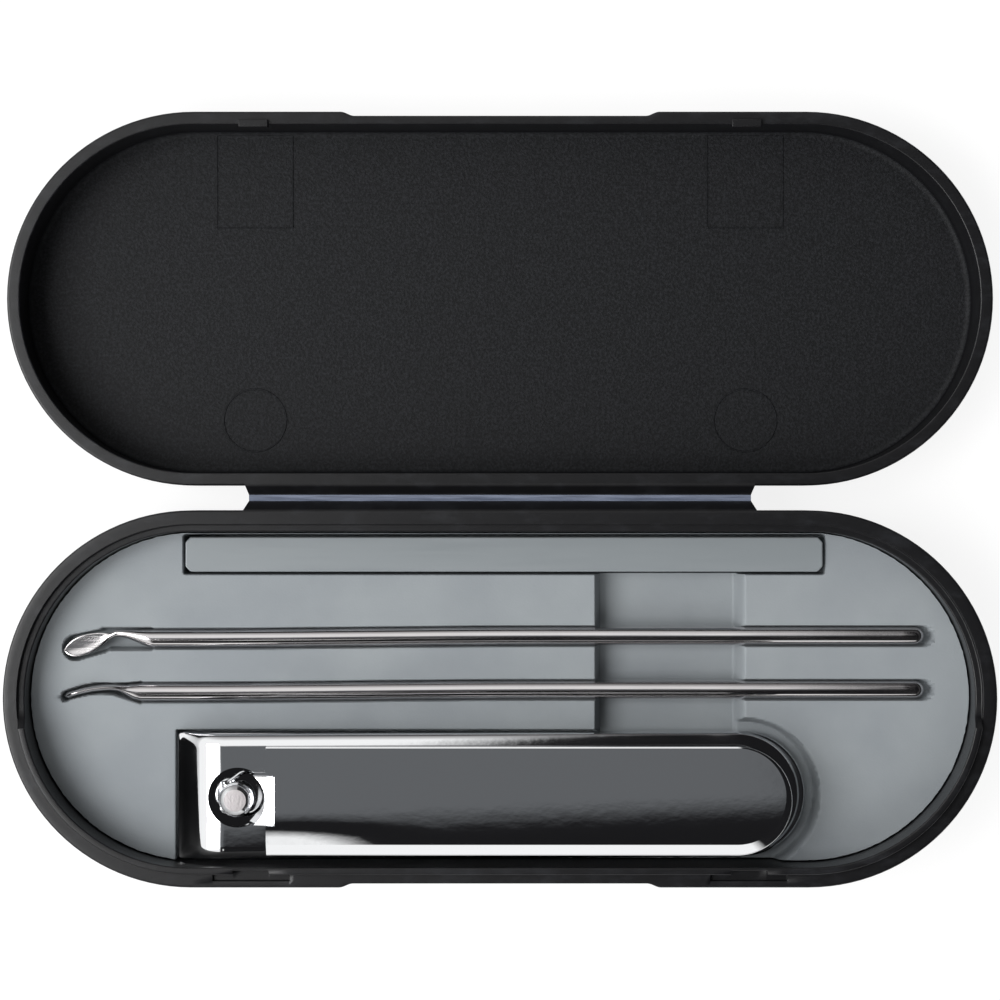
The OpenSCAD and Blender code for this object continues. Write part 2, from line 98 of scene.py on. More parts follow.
class ManicureCaseSizes(bpy.types.PropertyGroup):
    """Sizes of the two shells, the hinge and the insert."""

    wall_back: length("Rear wall offset", 1.2, "Distance from the hinge line to each rear wall")
    base_ledge: length("Base ledge height", BASE_HIGH.z - 1.0, "Height of the base up to its ledge")
    lid_rim: length("Lid rim height", 7.4, "Height of the lid's rim over the table")
    foot_round: length("Foot radius", 2.6, "Radius of the shells' outer bottom edge")
    ledge: length("Ledge width", 1.35, "Width of the ledge that the lid closes on")
    tongue: length("Tongue thickness", 0.7, "Thickness of the wall that stands inside the ledge")
    seat_gap: length("Seat gap", 0.1, "Play between the lid's rim and the tongue")
    floor: length("Floor thickness", 1.35, "Thickness of both shells' floors")
    rear_step: length("Rear step", 0.6, "Depth of the step behind the ledge, near the hinge")
    thumb_half: length("Thumb recess half length", 15.5, "Half the length of the thumb recess")
    thumb_slope: length("Thumb recess slope", 1.3, "Length of the slope at each end of the recess")
    thumb_depth: length("Thumb recess depth", 0.4, "Depth of the thumb recess")
    catch_offset: length("Catch offset", 24.0, "Distance of each catch from the middle")
    catch_width: length("Catch width", 2.9, "Width of a catch on the lid")
    pocket_width: length("Pocket width", 7.4, "Width of the pocket that takes a catch")
    neck_half: length("Hinge half length", 24.3, "Half the length of the hinge at its film")
    neck_flare: length("Hinge flare", 0.5, "Amount that each end of the neck widens to the wall")
    flange: length("Flange thickness", 0.9, "Thickness of the hinge flanges")
    film_reach: length("Film reach", 0.27, "Distance of each flange from the hinge line")


class ManicureCaseTools(bpy.types.PropertyGroup):
    """Sizes of the tools and of the slots that hold them."""

    slot_play: length("Slot play", 0.2, "Play round a tool in its slot")
    finger_left: length("Finger recess left", 9.3, "Left edge of the finger recess")
    finger_length: length("Finger recess length", 14.7, "Length of the finger recess")
    file_chamfer: length("File chamfer", 0.5, "Chamfer of the glass file's corners")
    rod: length("Rod diameter", 1.8, "Diameter of both rods")
    rod_bow: length("Rod bow", 0.26, "How far both rods bow towards the front at their heads")
    bowl: length("Bowl length", 5.0, "Length of the ear pick's bowl")
    blade: length("Blade length", 7.0, "Length of the pusher's thin blade")
    blade_thick: length("Blade thickness", 0.74, "Thickness of the pusher's blade")
    jaw: length("Jaw thickness", 1.3, "Thickness of each clipper jaw")
    lip: length("Lip length", 4.6, "Length of the lip that bends down at the cutting end")
    lip_bend: length("Lip bend", 4.2, "Radius of the lip's bend")
    lip_angle: bpy.props.FloatProperty(name="Lip angle", default=math.radians(37), subtype="ANGLE",
                                       description="Angle that the lip is bent to")
    grind: bpy.props.FloatProperty(name="Lip grind", default=0.15,
                                   description="Rise of the lip's ground face per unit of length")
    jaw_round: length("Jaw rounding", 1.35, "Width of the upper jaw's rounded edges")
    pin_from_edge: length("Pin place", 6.0, "Distance of the pin from the cutting edges")
    pin: length("Pin diameter", 2.7, "Diameter of the pin's shaft")
    pin_head: length("Pin head", 3.3, "Diameter of the pin's head")
    dish: length("Dish radius", 2.95, "Radius of the shallow dish round the pin")
    sheet: length("Lever sheet", 0.9, "Thickness of the sheet that the lever is pressed from")
    crown: length("Lever crown", 0.13, "Height of the lever's crown over its edges")
    nose: length("Nose width", 4.8, "Width of the lever's nose")


class ManicureCaseFinishes(bpy.types.PropertyGroup):
    """Colours of the finishes, as sRGB hex."""

    plastic: colour("Case plastic", "#0d0d0f", "Black moulded plastic of both shells")
    # Worn plastic: rub marks on the rims, and also a painted sheen on the rims and the hinge neck
    plastic_rubbed_and_lit: colour("Worn and sheened plastic", "#1f2023", "The same plastic where an edge has rubbed, or where a painted sheen lies")
    grain: colour("Lid floor", "#0b0c0e", "Spark-eroded plastic inside the lid, in its pits")
    grain_speck: colour("Lid floor specks", "#1c1d20", "The same plastic on its peaks")
    # The film's two colours are a painted highlight, the gloss on the flexed film, with darker
    # streaks in it
    film: colour("Hinge film", "#666d7e", "The flexed film's pale painted highlight")
    film_highlight_streaks: colour("Hinge film streaks", "#464c5b", "Darker streaks in the film's painted highlight")
    insert: colour("Insert", "#7f8487", "Grey moulded insert")
    insert_shade: colour("Insert shade", "#767b7f", "Darker mottle in the insert")
    insert_cut: colour("Insert's cut edge", "#6b7276", "The insert where it was trimmed")
    insert_torn: colour("Insert's torn edge", "#3f4548", "The same edge where it tore")
    glass: colour("Glass", "#939a9e", "Tint of the glass file")
    steel: colour("Rod steel", "#c9c6c7", "Polished steel of the rods")
    pin_end: colour("Pin's end", "#a39fa0", "Blasted steel of the pin's sheared end")
    chrome: colour("Chrome", "#e3e4e6", "Bright plate of the clipper")
    floor: colour("Floor", "#ffffff", "Table and backdrop")


def sizes():
    return bpy.context.scene.manicure_case_sizes


def tools():
    return bpy.context.scene.manicure_case_tools


def finishes():
    return bpy.context.scene.manicure_case_finishes


# ---------------------------------------------------------------- materials


def linear(hex_colour):
    """sRGB hex to the linear colour that shaders take."""
    parts = [int(hex_colour[i:i + 2], 16) / 255 for i in (1, 3, 5)]
    return (*(c / 12.92 if c <= 0.04045 else ((c + 0.055) / 1.055) ** 2.4 for c in parts), 1.0)


def add(tree, kind, inputs=(), **settings):
    """Adds a node with its settings. An input that is given a node or a socket is linked to it, and
    any other takes the value that it is given."""
    made = tree.nodes.new(kind)
    for name, value in settings.items():
        setattr(made, name, value)
    for name, value in dict(inputs).items():
        if isinstance(value, bpy.types.Node):
            value = value.outputs[0]
        if isinstance(value, bpy.types.NodeSocket):
            tree.links.new(value, made.inputs[name])
        else:
            made.inputs[name].default_value = value
    return made


class Finish:
    """A material in the making: a Principled shader with the given socket values, and patterns that
    colour, roughen and raise its surface."""

    def __init__(self, name, **sockets):
        self.material = bpy.data.materials.new(name)
        self.material.use_nodes = True
        self.tree = self.material.node_tree
        self.shader = self.tree.nodes["Principled BSDF"]
        for key, value in sockets.items():
            self.shader.inputs[key.replace("_", " ")].default_value = value

    def grain(self, size_mm, detail=3.0, stretch=(1, 1, 1), roughness=0.5):
        """Noise on Object coordinates, whose grains are about size_mm across."""
        place = add(self.tree, "ShaderNodeTexCoord").outputs["Object"]
        scale = [s / (size_mm * MM) for s in stretch]
        place = add(self.tree, "ShaderNodeMapping", {"Vector": place, "Scale": scale})
        return add(self.tree, "ShaderNodeTexNoise",
                   {"Vector": place, "Scale": 1.0, "Detail": detail, "Roughness": roughness})

    def tint(self, pattern, low, high, first, second, most=1.0):
        """Colours the surface from one hex colour towards a second as a pattern goes from low to
        high, and returns the share of the second, which is most at the high end."""
        share = add(self.tree, "ShaderNodeMapRange",
                    {"Value": pattern, "From Min": low, "From Max": high, "To Max": most})
        mixed = add(self.tree, "ShaderNodeMix", {0: share, 6: linear(first), 7: linear(second)},
                    data_type="RGBA")
        self.tree.links.new(mixed.outputs[2], self.shader.inputs["Base Color"])
        return share

    def polish(self, pattern, low, high, smooth, rough):
        """Takes the roughness from smooth to rough as a pattern goes from low to high."""
        level = add(self.tree, "ShaderNodeMapRange", {
            "Value": pattern, "From Min": low, "From Max": high, "To Min": smooth, "To Max": rough})
        self.tree.links.new(level.outputs[0], self.shader.inputs["Roughness"])

    def relief(self, pattern, depth_mm, strength=1.0):
        """Raises the surface by a pattern."""
        raised = add(self.tree, "ShaderNodeBump",
                     {"Height": pattern, "Distance": depth_mm * MM, "Strength": strength})
        self.tree.links.new(raised.outputs[0], self.shader.inputs["Normal"])


def moulded_polypropylene():
    """Black polypropylene, injection moulded: a tight satin skin with the finest moulded grain, and
    paler tint along the rims and the hinge neck: rub marks where the shells have met and been
    handled, and a painted sheen where light catches the rims and the neck."""
    f = finishes()
    made = Finish("moulded black polypropylene", IOR=1.49, Specular_IOR_Level=0.3)
    rims = add(made.tree, "ShaderNodeAttribute", attribute_name="rub_and_painted_sheen").outputs["Fac"]
    # The paler tint on the rims and the hinge neck is rub marks and painted sheen together
    made.tint(made.grain(1.6, 6.0, (0.5, 1, 0.4), 0.7), 0.5, 0.8, f.plastic, f.plastic_rubbed_and_lit, rims)
    skin = made.grain(0.16)
    made.polish(skin, 0.3, 0.7, 0.3, 0.38)
    made.relief(skin, 0.004)
    return made.material


def eroded_polypropylene():
    """The same plastic inside the lid, moulded against a spark-eroded face: a dull, even grain of
    fine pits that scatters light as tiny specks."""
    f = finishes()
    made = Finish("spark-eroded black polypropylene", Roughness=0.62, IOR=1.49,
                  Specular_IOR_Level=0.17)
    pits = made.grain(0.26, 2.0, roughness=0.8)
    made.tint(pits, 0.42, 0.68, f.grain, f.grain_speck)
    made.relief(pits, 0.05)
    return made.material


def film_with_painted_highlight():
    """Polypropylene film, drawn thin and flexed: glossy and smooth, coloured paler than the
    moulding as a painted highlight.
    """
    f = finishes()
    made = Finish("flexed polypropylene film with painted highlight", Roughness=0.2, IOR=1.49)
    # The pale film colours, streaked, are a painted highlight
    made.relief(made.tint(made.grain(0.8, 2.0, (0.2, 3, 3)), 0.3, 0.7, f.film_highlight_streaks, f.film), 0.01)
    return made.material


def moulded_elastomer():
    """Grey thermoplastic elastomer, press moulded: dead matte, slightly chalky, with a faint cloudy
    mottle and a fine skin texture."""
    f = finishes()
    made = Finish("moulded grey elastomer", Roughness=0.72, IOR=1.5, Specular_IOR_Level=0.35)
    made.tint(made.grain(9.0, 4.0), 0.35, 0.68, f.insert_shade, f.insert)
    made.relief(made.grain(0.22), 0.012)
    return made.material


def trimmed_elastomer():
    """The insert's cut outer edge: torn a little, so it is darker and rougher than the skin."""
    f = finishes()
    made = Finish("trimmed elastomer edge", Roughness=0.9, IOR=1.5)
    made.relief(made.tint(made.grain(0.5, 4.0), 0.35, 0.65, f.insert_torn, f.insert_cut), 0.08)
    return made.material


def etched_glass():
    """Toughened soda-lime glass, ground to a bar: tinted blue-grey through its depth, its
    faces etched dull, with long faint streaks from the grinding."""
    made = Finish("etched soda-lime glass", Base_Color=linear(finishes().glass), IOR=1.52,
                  Transmission_Weight=0.45)
    streaks = made.grain(0.3, 4.0, (0.03, 1.0, 1.0), 0.65)
    made.polish(streaks, 0.35, 0.7, 0.3, 0.5)
    made.relief(streaks, 0.008)
    return made.material


def polished_steel():
    """Stainless steel rod, drawn and barrel polished: mirror bright, with very fine lengthwise
    drawing marks."""
    made = Finish("polished stainless steel", Base_Color=linear(finishes().steel), Metallic=1.0)
    made.polish(made.grain(0.12, stretch=(0.02, 1.0, 1.0)), 0.3, 0.75, 0.06, 0.2)
    made.relief(made.grain(3.0, stretch=(0.4, 1, 1)), 0.01, 0.6)
    return made.material


def chrome_plate():
    """Nickel-chrome plate over pressed steel: a bright mirror that follows the steel's faint
    waviness, the orange peel of the pressing."""
    made = Finish("nickel-chrome plate", Base_Color=linear(finishes().chrome), Metallic=1.0,
                  Roughness=0.05)
    made.relief(made.grain(1.1, stretch=(0.6, 1, 1)), 0.004)
    return made.material


def turned_chrome():
    """Nickel-chrome plate over turned steel: nearly as bright, a little uneven from the tool."""
    made = Finish("turned nickel-chrome plate", Base_Color=linear(finishes().chrome), Metallic=1.0,
                  Roughness=0.16)
    made.relief(made.grain(0.5), 0.01)
    return made.material


def blasted_steel():
    """The pin's sheared end, shot-blasted and plated thinly: dull silver that scatters light."""
    made = Finish("blasted steel", Base_Color=linear(finishes().pin_end), Metallic=1.0,
                  Roughness=0.5)
    made.relief(made.grain(0.2), 0.03)
    return made.material


def light_tent_floor():
    """White paper sweep under a light tent: plain white to the camera, with a soft shadow."""
    made = Finish("white paper sweep", Base_Color=linear(finishes().floor), Roughness=0.9)
    rays = add(made.tree, "ShaderNodeLightPath").outputs
    seen = rays["Is Camera Ray"]
    for other in ("Is Glossy Ray", "Is Transmission Ray"):
        seen = add(made.tree, "ShaderNodeMath", {0: seen, 1: rays[other]}, operation="MAXIMUM")
    # The paper's own shading keeps the rest, and so the shadow
    plain_share = 0.86
    share = add(made.tree, "ShaderNodeMath", {0: seen, 1: plain_share}, operation="MULTIPLY")
    glow = add(made.tree, "ShaderNodeEmission", {"Color": (1, 1, 1, 1), "Strength": 1.0})
    sweep = add(made.tree, "ShaderNodeMixShader", {0: share, 1: made.shader, 2: glow})
    made.tree.links.new(sweep.outputs[0], made.tree.nodes["Material Output"].inputs["Surface"])
    return made.material


# ---------------------------------------------------------------- mesh helpers


def finish_piece(name, mesh_or_bm, materials, body, nodes, sharp_deg=40, weighted=False):
    """Makes a finished piece's object, whose place is in its mesh, and ties it to the frame."""
    if isinstance(mesh_or_bm, bmesh.types.BMesh):
        mesh = bpy.data.meshes.new(name)
        mesh_or_bm.to_mesh(mesh)
        mesh_or_bm.free()
    else:
        mesh = mesh_or_bm
    mesh.polygons.foreach_set("use_smooth", [True] * len(mesh.polygons))
    mesh.set_sharp_from_angle(angle=math.radians(sharp_deg))
    for material in materials:
        mesh.materials.append(material)
    piece = bpy.data.objects.new(name, mesh)
    bpy.context.scene.collection.objects.link(piece)
    if weighted:
        smooth = piece.modifiers.new("weighted normals", "WEIGHTED_NORMAL")
        smooth.keep_sharp = True
        smooth.weight = 90
    if body:
        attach(piece, body)
    if nodes:
        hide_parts(*nodes)
    return piece


# Points that a rounded corner of a section has
CORNER_POINTS = 6


def rounded(corners, count=CORNER_POINTS - 1):
    """A line through corners (a, z, radius), with each corner rounded to its radius."""
    line = [corners[0][:2]]
    for before, here, after in zip(corners, corners[1:], corners[2:]):
        p, q, r = (Vector(c[:2]) for c in (before, here, after))
        into, out = p - q, r - q
        room = min(into.length, out.length) * 0.49
        if room < 1e-5 or here[2] <= 0:
            line += [tuple(q)] * (count + 1)
            continue
        half = into.angle(out) / 2
        back = min(here[2] / max(math.tan(half), 1e-4), room)
        a, b = q + into.normalized() * back, q + out.normalized() * back
        for i in range(count + 1):
            t = i / count
            # A quadratic through the corner's two tangent points is close to the arc
            line.append(tuple(a * (1 - t) ** 2 + q * 2 * t * (1 - t) + b * t ** 2))
    return line + [corners[-1][:2]]


def smoothstep(low, high, value):
    t = min(1.0, max(0.0, (value - low) / (high - low)))
    return t * t * (3 - 2 * t)


class Loft:
    """A mesh built from rings of points that have the same count."""

    def __init__(self):
        self.bm = bmesh.new()

    def ring(self, points):
        return [self.bm.verts.new([c * MM for c in p]) for p in points]

    def face(self, verts, material=0):
        """Adds a face, unless its corners run together or it is there already."""
        unique = list(dict.fromkeys(verts))
        if len(unique) > 2 and not self.bm.faces.get(unique):
            self.bm.faces.new(unique).material_index = material

    def bridge(self, a, b, closed=True):
        count = len(a)
        for i in range(count if closed else count - 1):
            j = (i + 1) % count
            self.face([a[i], a[j], b[j], b[i]])

    def tube(self, sections):
        """Joins sections of points each to the next, and closes both ends."""
        rings = [self.ring(points) for points in sections]
        for a, b in zip(rings, rings[1:]):
            self.bridge(a, b)
        self.face(rings[0])
        self.face(rings[-1])
        return self

    def tidy(self, merge=1e-7):
        bmesh.ops.remove_doubles(self.bm, verts=self.bm.verts, dist=merge)
        bmesh.ops.dissolve_degenerate(self.bm, edges=self.bm.edges, dist=merge)
        bmesh.ops.recalc_face_normals(self.bm, faces=self.bm.faces)
        return self.bm


# Radius of the tiny face that closes a turned piece on its axis
TIP = 0.001


def cylinder(radius, low, high):
    """The profile of a plain cylinder, for the lathe."""
    return [(TIP, low), (radius, low), (radius, high), (TIP, high)]


def lathe(profile, centre, count=48, axis="Z"):
    """Turns a profile of (radius, height) round an axis, closed at both ends."""
    sections = []
    for radius, high in profile:
        turn = [2 * math.pi * i / count for i in range(count)]
        round_it = [(radius * math.cos(a), radius * math.sin(a)) for a in turn]
        offsets = [(u, v, high) if axis == "Z" else (u, high, v) for u, v in round_it]
        sections.append([[c + d for c, d in zip(centre, offset)] for offset in offsets])
    return Loft().tube(sections)


def soften(bm, radius):
    """Rounds every edge of a mesh."""
    bmesh.ops.bevel(bm, geom=bm.edges, offset=radius * MM, segments=3, affect="EDGES", profile=0.5)
    return bm


def box_bm(low, high):
    """A box between two corners in millimetres."""
    bm = bmesh.new()
    bmesh.ops.create_cube(bm, size=1.0)
    size, middle = Vector(high) - Vector(low), (Vector(high) + Vector(low)) / 2
    for v in bm.verts:
        v.co = Vector([(v.co[k] * size[k] + middle[k]) * MM for k in range(3)])
    return bm


def join(bm, other):
    """Adds another bmesh to this one and frees it."""
    mesh = bpy.data.meshes.new("joined")
    other.to_mesh(mesh)
    other.free()
    bm.from_mesh(mesh)
    bpy.data.meshes.remove(mesh)
    return bm


def evaluated_mesh(holder):
    """A plain mesh of what an object's modifiers make."""
    bpy.context.view_layer.update()
    return bpy.data.meshes.new_from_object(
        holder.evaluated_get(bpy.context.evaluated_depsgraph_get()))


def boolean(bm, cutter):
    """Cuts one closed mesh with another. Both are bmeshes, and both are used up."""
    pair = []
    for name, part in (("kept", bm), ("cutter", cutter)):
        mesh = bpy.data.meshes.new(name)
        part.to_mesh(mesh)
        part.free()
        made = bpy.data.objects.new(name, mesh)
        bpy.context.scene.collection.objects.link(made)
        pair.append(made)
    cut = pair[0].modifiers.new("cut", "BOOLEAN")
    cut.operation, cut.solver, cut.object = "DIFFERENCE", "EXACT", pair[1]
    result = evaluated_mesh(pair[0])
    bm = bmesh.new()
    bm.from_mesh(result)
    for made in pair:
        mesh = made.data
        bpy.data.objects.remove(made)
        bpy.data.meshes.remove(mesh)
    bpy.data.meshes.remove(result)
    return bm


# ---------------------------------------------------------------- case shells


# How far in from the wall the flat middles of a shell's outer and inner floor start
FOOT_REACH, FLOOR_REACH = 6.0, 7.0
# A catch's pocket: its start on the ledge, its depth, and the room behind and beside the catch
POCKET_EDGE, POCKET_DEPTH, NOTCH_DEPTH, NOTCH_PLAY = 0.65, 0.55, 0.4, 0.3
# How far the tongue stands over the ledge, and the length over which it runs down to the rear step
TONGUE_HEIGHT, TONGUE_END = 1.0, 0.7
# Radius of the edges on the tongue and the lid's rim, and distance of a flange from the hinge line
RIM_ROUND, FLANGE_END = 0.16, 0.3


def outline_stations(long, wide, marks, arc_steps=56, straight_steps=24):
    """Stations round a round-ended outline centred on (0, 0), from the middle of the front:
    (x, y, normal x, normal y). Marks are extra places along the front and the rear."""
    half = (long - wide) / 2
    radius = wide / 2
    even = [-half + 2 * half * i / straight_steps for i in range(straight_steps + 1)]
    along = sorted(set(even) | {m for m in marks if abs(m) < half})
    stations = []
    for side, straight in ((-1, along), (1, along[::-1])):
        stations += [(x, side * radius, 0.0, side) for x in straight]
        for i in range(1, arc_steps):
            a = math.radians(90 * side + 180 * i / arc_steps)
            c, s = math.cos(a), math.sin(a)
            stations.append((radius * c - side * half, radius * s, c, s))
    return stations


def thumb_inset(x, y):
    """How far the front face is set back at a station."""
    s = sizes()
    if y > 0:
        return 0.0
    return s.thumb_depth * smoothstep(s.thumb_half, s.thumb_half - s.thumb_slope, abs(x))


def shell_marks():
    """Places along a shell where its section changes: the thumb recess and the catch pockets."""
    s = sizes()
    marks = []
    for side in (-1, 1):
        neck = side * (s.neck_half + s.neck_flare)
        marks += [neck - 0.002, neck + 0.002]
        for i in range(7):
            marks.append(side * (s.thumb_half - s.thumb_slope * i / 6))
        for half in (s.pocket_width / 2, s.catch_width / 2 + NOTCH_PLAY):
            for edge in (-1, 1):
                at = side * s.catch_offset + edge * half
                marks += [at - 0.04, at + 0.04]
    return marks


def neck_x(x, inset):
    """Place along the hinge of a point on the neck, whose ends draw in towards the film."""
    s = sizes()
    wide = s.neck_half + s.neck_flare
    share = min(1.0, max(0.0, -inset / (s.wall_back - s.film_reach)))
    return x * (wide - s.neck_flare * share) / wide


def sweep_shell(long, section, side, rim, inside_from):
    """Sweeps a section, a line of (inset, z), round a shell, and closes both floors. The side is -1
    for the base and 1 for the lid. Faces from the section's point inside_from on take the second
    material."""
    loft = Loft()
    rub_and_sheen_layer = loft.bm.verts.layers.float.new("rub_and_painted_sheen")
    rings = []
    for x, y, nx, ny in outline_stations(long, 2 * half_width(), shell_marks()):
        line = section(x, y)
        ring = loft.ring([(neck_x(x, inset) if inset < 0 else x - nx * inset,
                           side * (shell_centre() - y + ny * inset), z) for inset, z in line])
        for vert, (inset, z) in zip(ring, line):
            # Rub marks and a painted sheen lie on the rims, and on the neck beside the film
            vert[rub_and_sheen_layer] = max(smoothstep(rim - 1.4, rim - 0.4, z), smoothstep(0.0, -0.3, inset))
        rings.append(ring)
    for a, b in zip(rings, rings[1:] + rings[:1]):
        for k in range(len(a) - 1):
            loft.face([a[k], b[k], b[k + 1], a[k + 1]], int(k >= inside_from))
    loft.face([r[0] for r in rings], 0)
    loft.face([r[-1] for r in rings], 1)
    return loft.tidy()


def outer_corners(x, y, out, top):
    """Corners of the outer face: plain, or run out to the film along the hinge's neck."""
    s = sizes()
    hinge = (FILM_LOW.z + FILM_HIGH.z) / 2
    under = min(hinge - s.flange, top) - 1.2
    if y > 0 and abs(x) < s.neck_half + s.neck_flare:
        nose = s.film_reach - s.wall_back
        return [(out, under, 0.4), (nose, hinge - s.flange, 0.2), (nose, hinge - 0.02, 0.12),
                (out, top, 0.5)]
    return [(out, under, 0), (out, under + 0.1, 0), (out, top - 0.6, 0), (out, top, 0.24)]


def base_section(x, y):
    """The base's wall at a station: foot, outer face, ledge, tongue or step, and inner face."""
    s = sizes()
    out = thumb_inset(x, y)
    top = s.base_ledge
    wall = s.ledge + s.tongue
    # The tongue runs round the front of a line a little before the shell's middle
    behind = smoothstep(-TONGUE_END / 2, TONGUE_END / 2, y + 0.12 * half_width())
    upper = top + TONGUE_HEIGHT - (TONGUE_HEIGHT + s.rear_step) * behind
    near = abs(abs(x) - s.catch_offset) if y < -half_width() + 0.5 else math.inf
    pocket = POCKET_DEPTH if near < s.pocket_width / 2 else 0.0
    inner = s.ledge + (NOTCH_DEPTH if near < s.catch_width / 2 + NOTCH_PLAY else 0.0)
    return rounded([(FOOT_REACH, 0.0, 0), (out, 0.0, s.foot_round), *outer_corners(x, y, out, top),
                    (POCKET_EDGE, top, 0.06 if pocket else 0), (POCKET_EDGE, top - pocket, 0.05),
                    (inner, top - pocket, 0.05), (inner, upper, RIM_ROUND),
                    (wall, upper, RIM_ROUND), (wall, s.floor, 0.6), (FLOOR_REACH, s.floor, 0)])


def half_width():
    """Half the width of a shell, from its front to its rear wall."""
    return (BASE_HIGH.y - BASE_LOW.y - sizes().wall_back + FLANGE_END) / 2


def lid_section(x, y):
    """The lid's wall at a station: foot, outer face, flat rim and inner face."""
    s = sizes()
    out = thumb_inset(x, y)
    wall = s.ledge - s.seat_gap
    return rounded([(FOOT_REACH, 0.0, 0), (out, 0.0, s.foot_round),
                    *outer_corners(x, y, out, s.lid_rim), (wall, s.lid_rim, RIM_ROUND),
                    (wall, s.floor, 0.7), (FLOOR_REACH, s.floor, 0)])


def shell_centre():
    """Distance of a shell's middle from the hinge line."""
    return sizes().wall_back + half_width()


class MANICURE_OT_base(bpy.types.Operator):
    """Builds the base shell with its ledge, tongue, catch pockets, thumb recess and hinge flange"""

    bl_idname = "manicure.base"
    bl_label = "Base shell"

    def execute(self, context):
        bm = sweep_shell(BASE_HIGH.x - BASE_LOW.x, base_section, -1, sizes().base_ledge, math.inf)
        finish_piece("case_base_shell", bm, [moulded_polypropylene()], "base",
                     ["case_base"], weighted=True)
        return {"FINISHED"}


class MANICURE_OT_lid(bpy.types.Operator):
    """Builds the lid shell with its catches"""

    bl_idname = "manicure.lid"
    bl_label = "Lid shell"

    def execute(self, context):
        s = sizes()
        # The eroded face starts two points into the floor's fillet, the section's seventh corner
        inside_from = 1 + 6 * CORNER_POINTS + 2
        bm = sweep_shell(LID_HIGH.x - LID_LOW.x, lid_section, 1, s.lid_rim, inside_from)
        inner = shell_centre() + half_width() - (s.ledge - s.seat_gap)
        for x in (-s.catch_offset, s.catch_offset):
            low = (x - s.catch_width / 2, inner - 0.3, s.lid_rim - 0.8)
            high = (x + s.catch_width / 2, inner + 0.45, s.lid_rim + 0.4)
            bm = join(bm, soften(box_bm(low, high), 0.1))
        finish_piece("case_lid_shell", bm, [moulded_polypropylene(), eroded_polypropylene()], "lid",
                     ["case_lid"], weighted=True)
        return {"FINISHED"}


def witness_tree(material):
    """Geometry nodes that draw one pair of mould witness lines, a disc's edge and a slider's edge,
    at equal distances from the middle."""
    tree = bpy.data.node_groups.new("mould witness lines", "GeometryNodeTree")
    face = tree.interface
    face.new_socket("Geometry", in_out="OUTPUT", socket_type="NodeSocketGeometry")
    for name in ("Offset", "Disc Radius", "Disc Place", "Slider Width", "Slider Length",
                 "Slider Place", "Floor", "Line Width"):
        face.new_socket(name, in_out="INPUT", socket_type="NodeSocketFloat")
    given = add(tree, "NodeGroupInput").outputs

    def at(**places):
        return add(tree, "ShaderNodeCombineXYZ", places)

    disc = add(tree, "GeometryNodeCurvePrimitiveCircle", {
        "Resolution": 72, "Radius": given["Disc Radius"]})
    disc = add(tree, "GeometryNodeTransform", {
        "Geometry": disc, "Translation": at(Y=given["Disc Place"])})
    slider = add(tree, "GeometryNodeCurvePrimitiveQuadrilateral", {
        "Width": given["Slider Width"], "Height": given["Slider Length"]}, mode="RECTANGLE")
    slider = add(tree, "GeometryNodeTransform", {
        "Geometry": slider, "Translation": at(Y=given["Slider Place"])})
    lines = add(tree, "GeometryNodeJoinGeometry", {"Geometry": disc})
    tree.links.new(slider.outputs[0], lines.inputs[0])
    wire = add(tree, "GeometryNodeCurvePrimitiveCircle", {
        "Resolution": 6, "Radius": given["Line Width"]})
    tube = add(tree, "GeometryNodeCurveToMesh", {
        "Curve": lines, "Profile Curve": wire, "Fill Caps": True})
    # Two points stand at minus and plus the offset
    twice, left = (add(tree, "ShaderNodeMath", {0: given["Offset"], 1: times}, operation="MULTIPLY")
                   for times in (2.0, -1.0))
    pair = add(tree, "GeometryNodeMeshLine", {
        "Count": 2, "Start Location": at(X=left, Z=given["Floor"]), "Offset": at(X=twice)})
    both = add(tree, "GeometryNodeInstanceOnPoints", {"Points": pair, "Instance": tube})
    real = add(tree, "GeometryNodeRealizeInstances", {"Geometry": both})
    painted = add(tree, "GeometryNodeSetMaterial", {"Geometry": real, "Material": material})
    add(tree, "NodeGroupOutput", {"Geometry": painted})
    return tree


class MANICURE_OT_witness(bpy.types.Operator):
    """Draws the mould's witness lines on the lid's inner floor, two discs and two sliders"""

    bl_idname = "manicure.witness"
    bl_label = "Witness lines"

    def execute(self, context):
        s = sizes()
        material = eroded_polypropylene()
        tree = witness_tree(material)
        holder = bpy.data.objects.new("holder", bpy.data.meshes.new("holder"))
        context.scene.collection.objects.link(holder)
        made = holder.modifiers.new("witness", "NODES")
        made.node_group = tree
        # The sliders start just inside the lid's front wall
        start, end = shell_centre() + half_width() - s.ledge - 0.3, 26.8
        values = {"Offset": 24.3, "Disc Radius": 3.1, "Disc Place": 7.7, "Slider Width": 7.5,
                  "Slider Length": start - end, "Slider Place": (start + end) / 2,
                  "Floor": s.floor + 0.02, "Line Width": 0.08}
        for item in tree.interface.items_tree:
            if item.in_out == "INPUT":
                made[item.identifier] = values[item.name] * MM
        mesh = evaluated_mesh(holder)
        bpy.data.objects.remove(holder)
        if not mesh.polygons:
            raise RuntimeError("the witness lines came out empty")
        mesh.materials.clear()
        finish_piece("lid_witness_lines", mesh, [material], "lid", [])
        return {"FINISHED"}


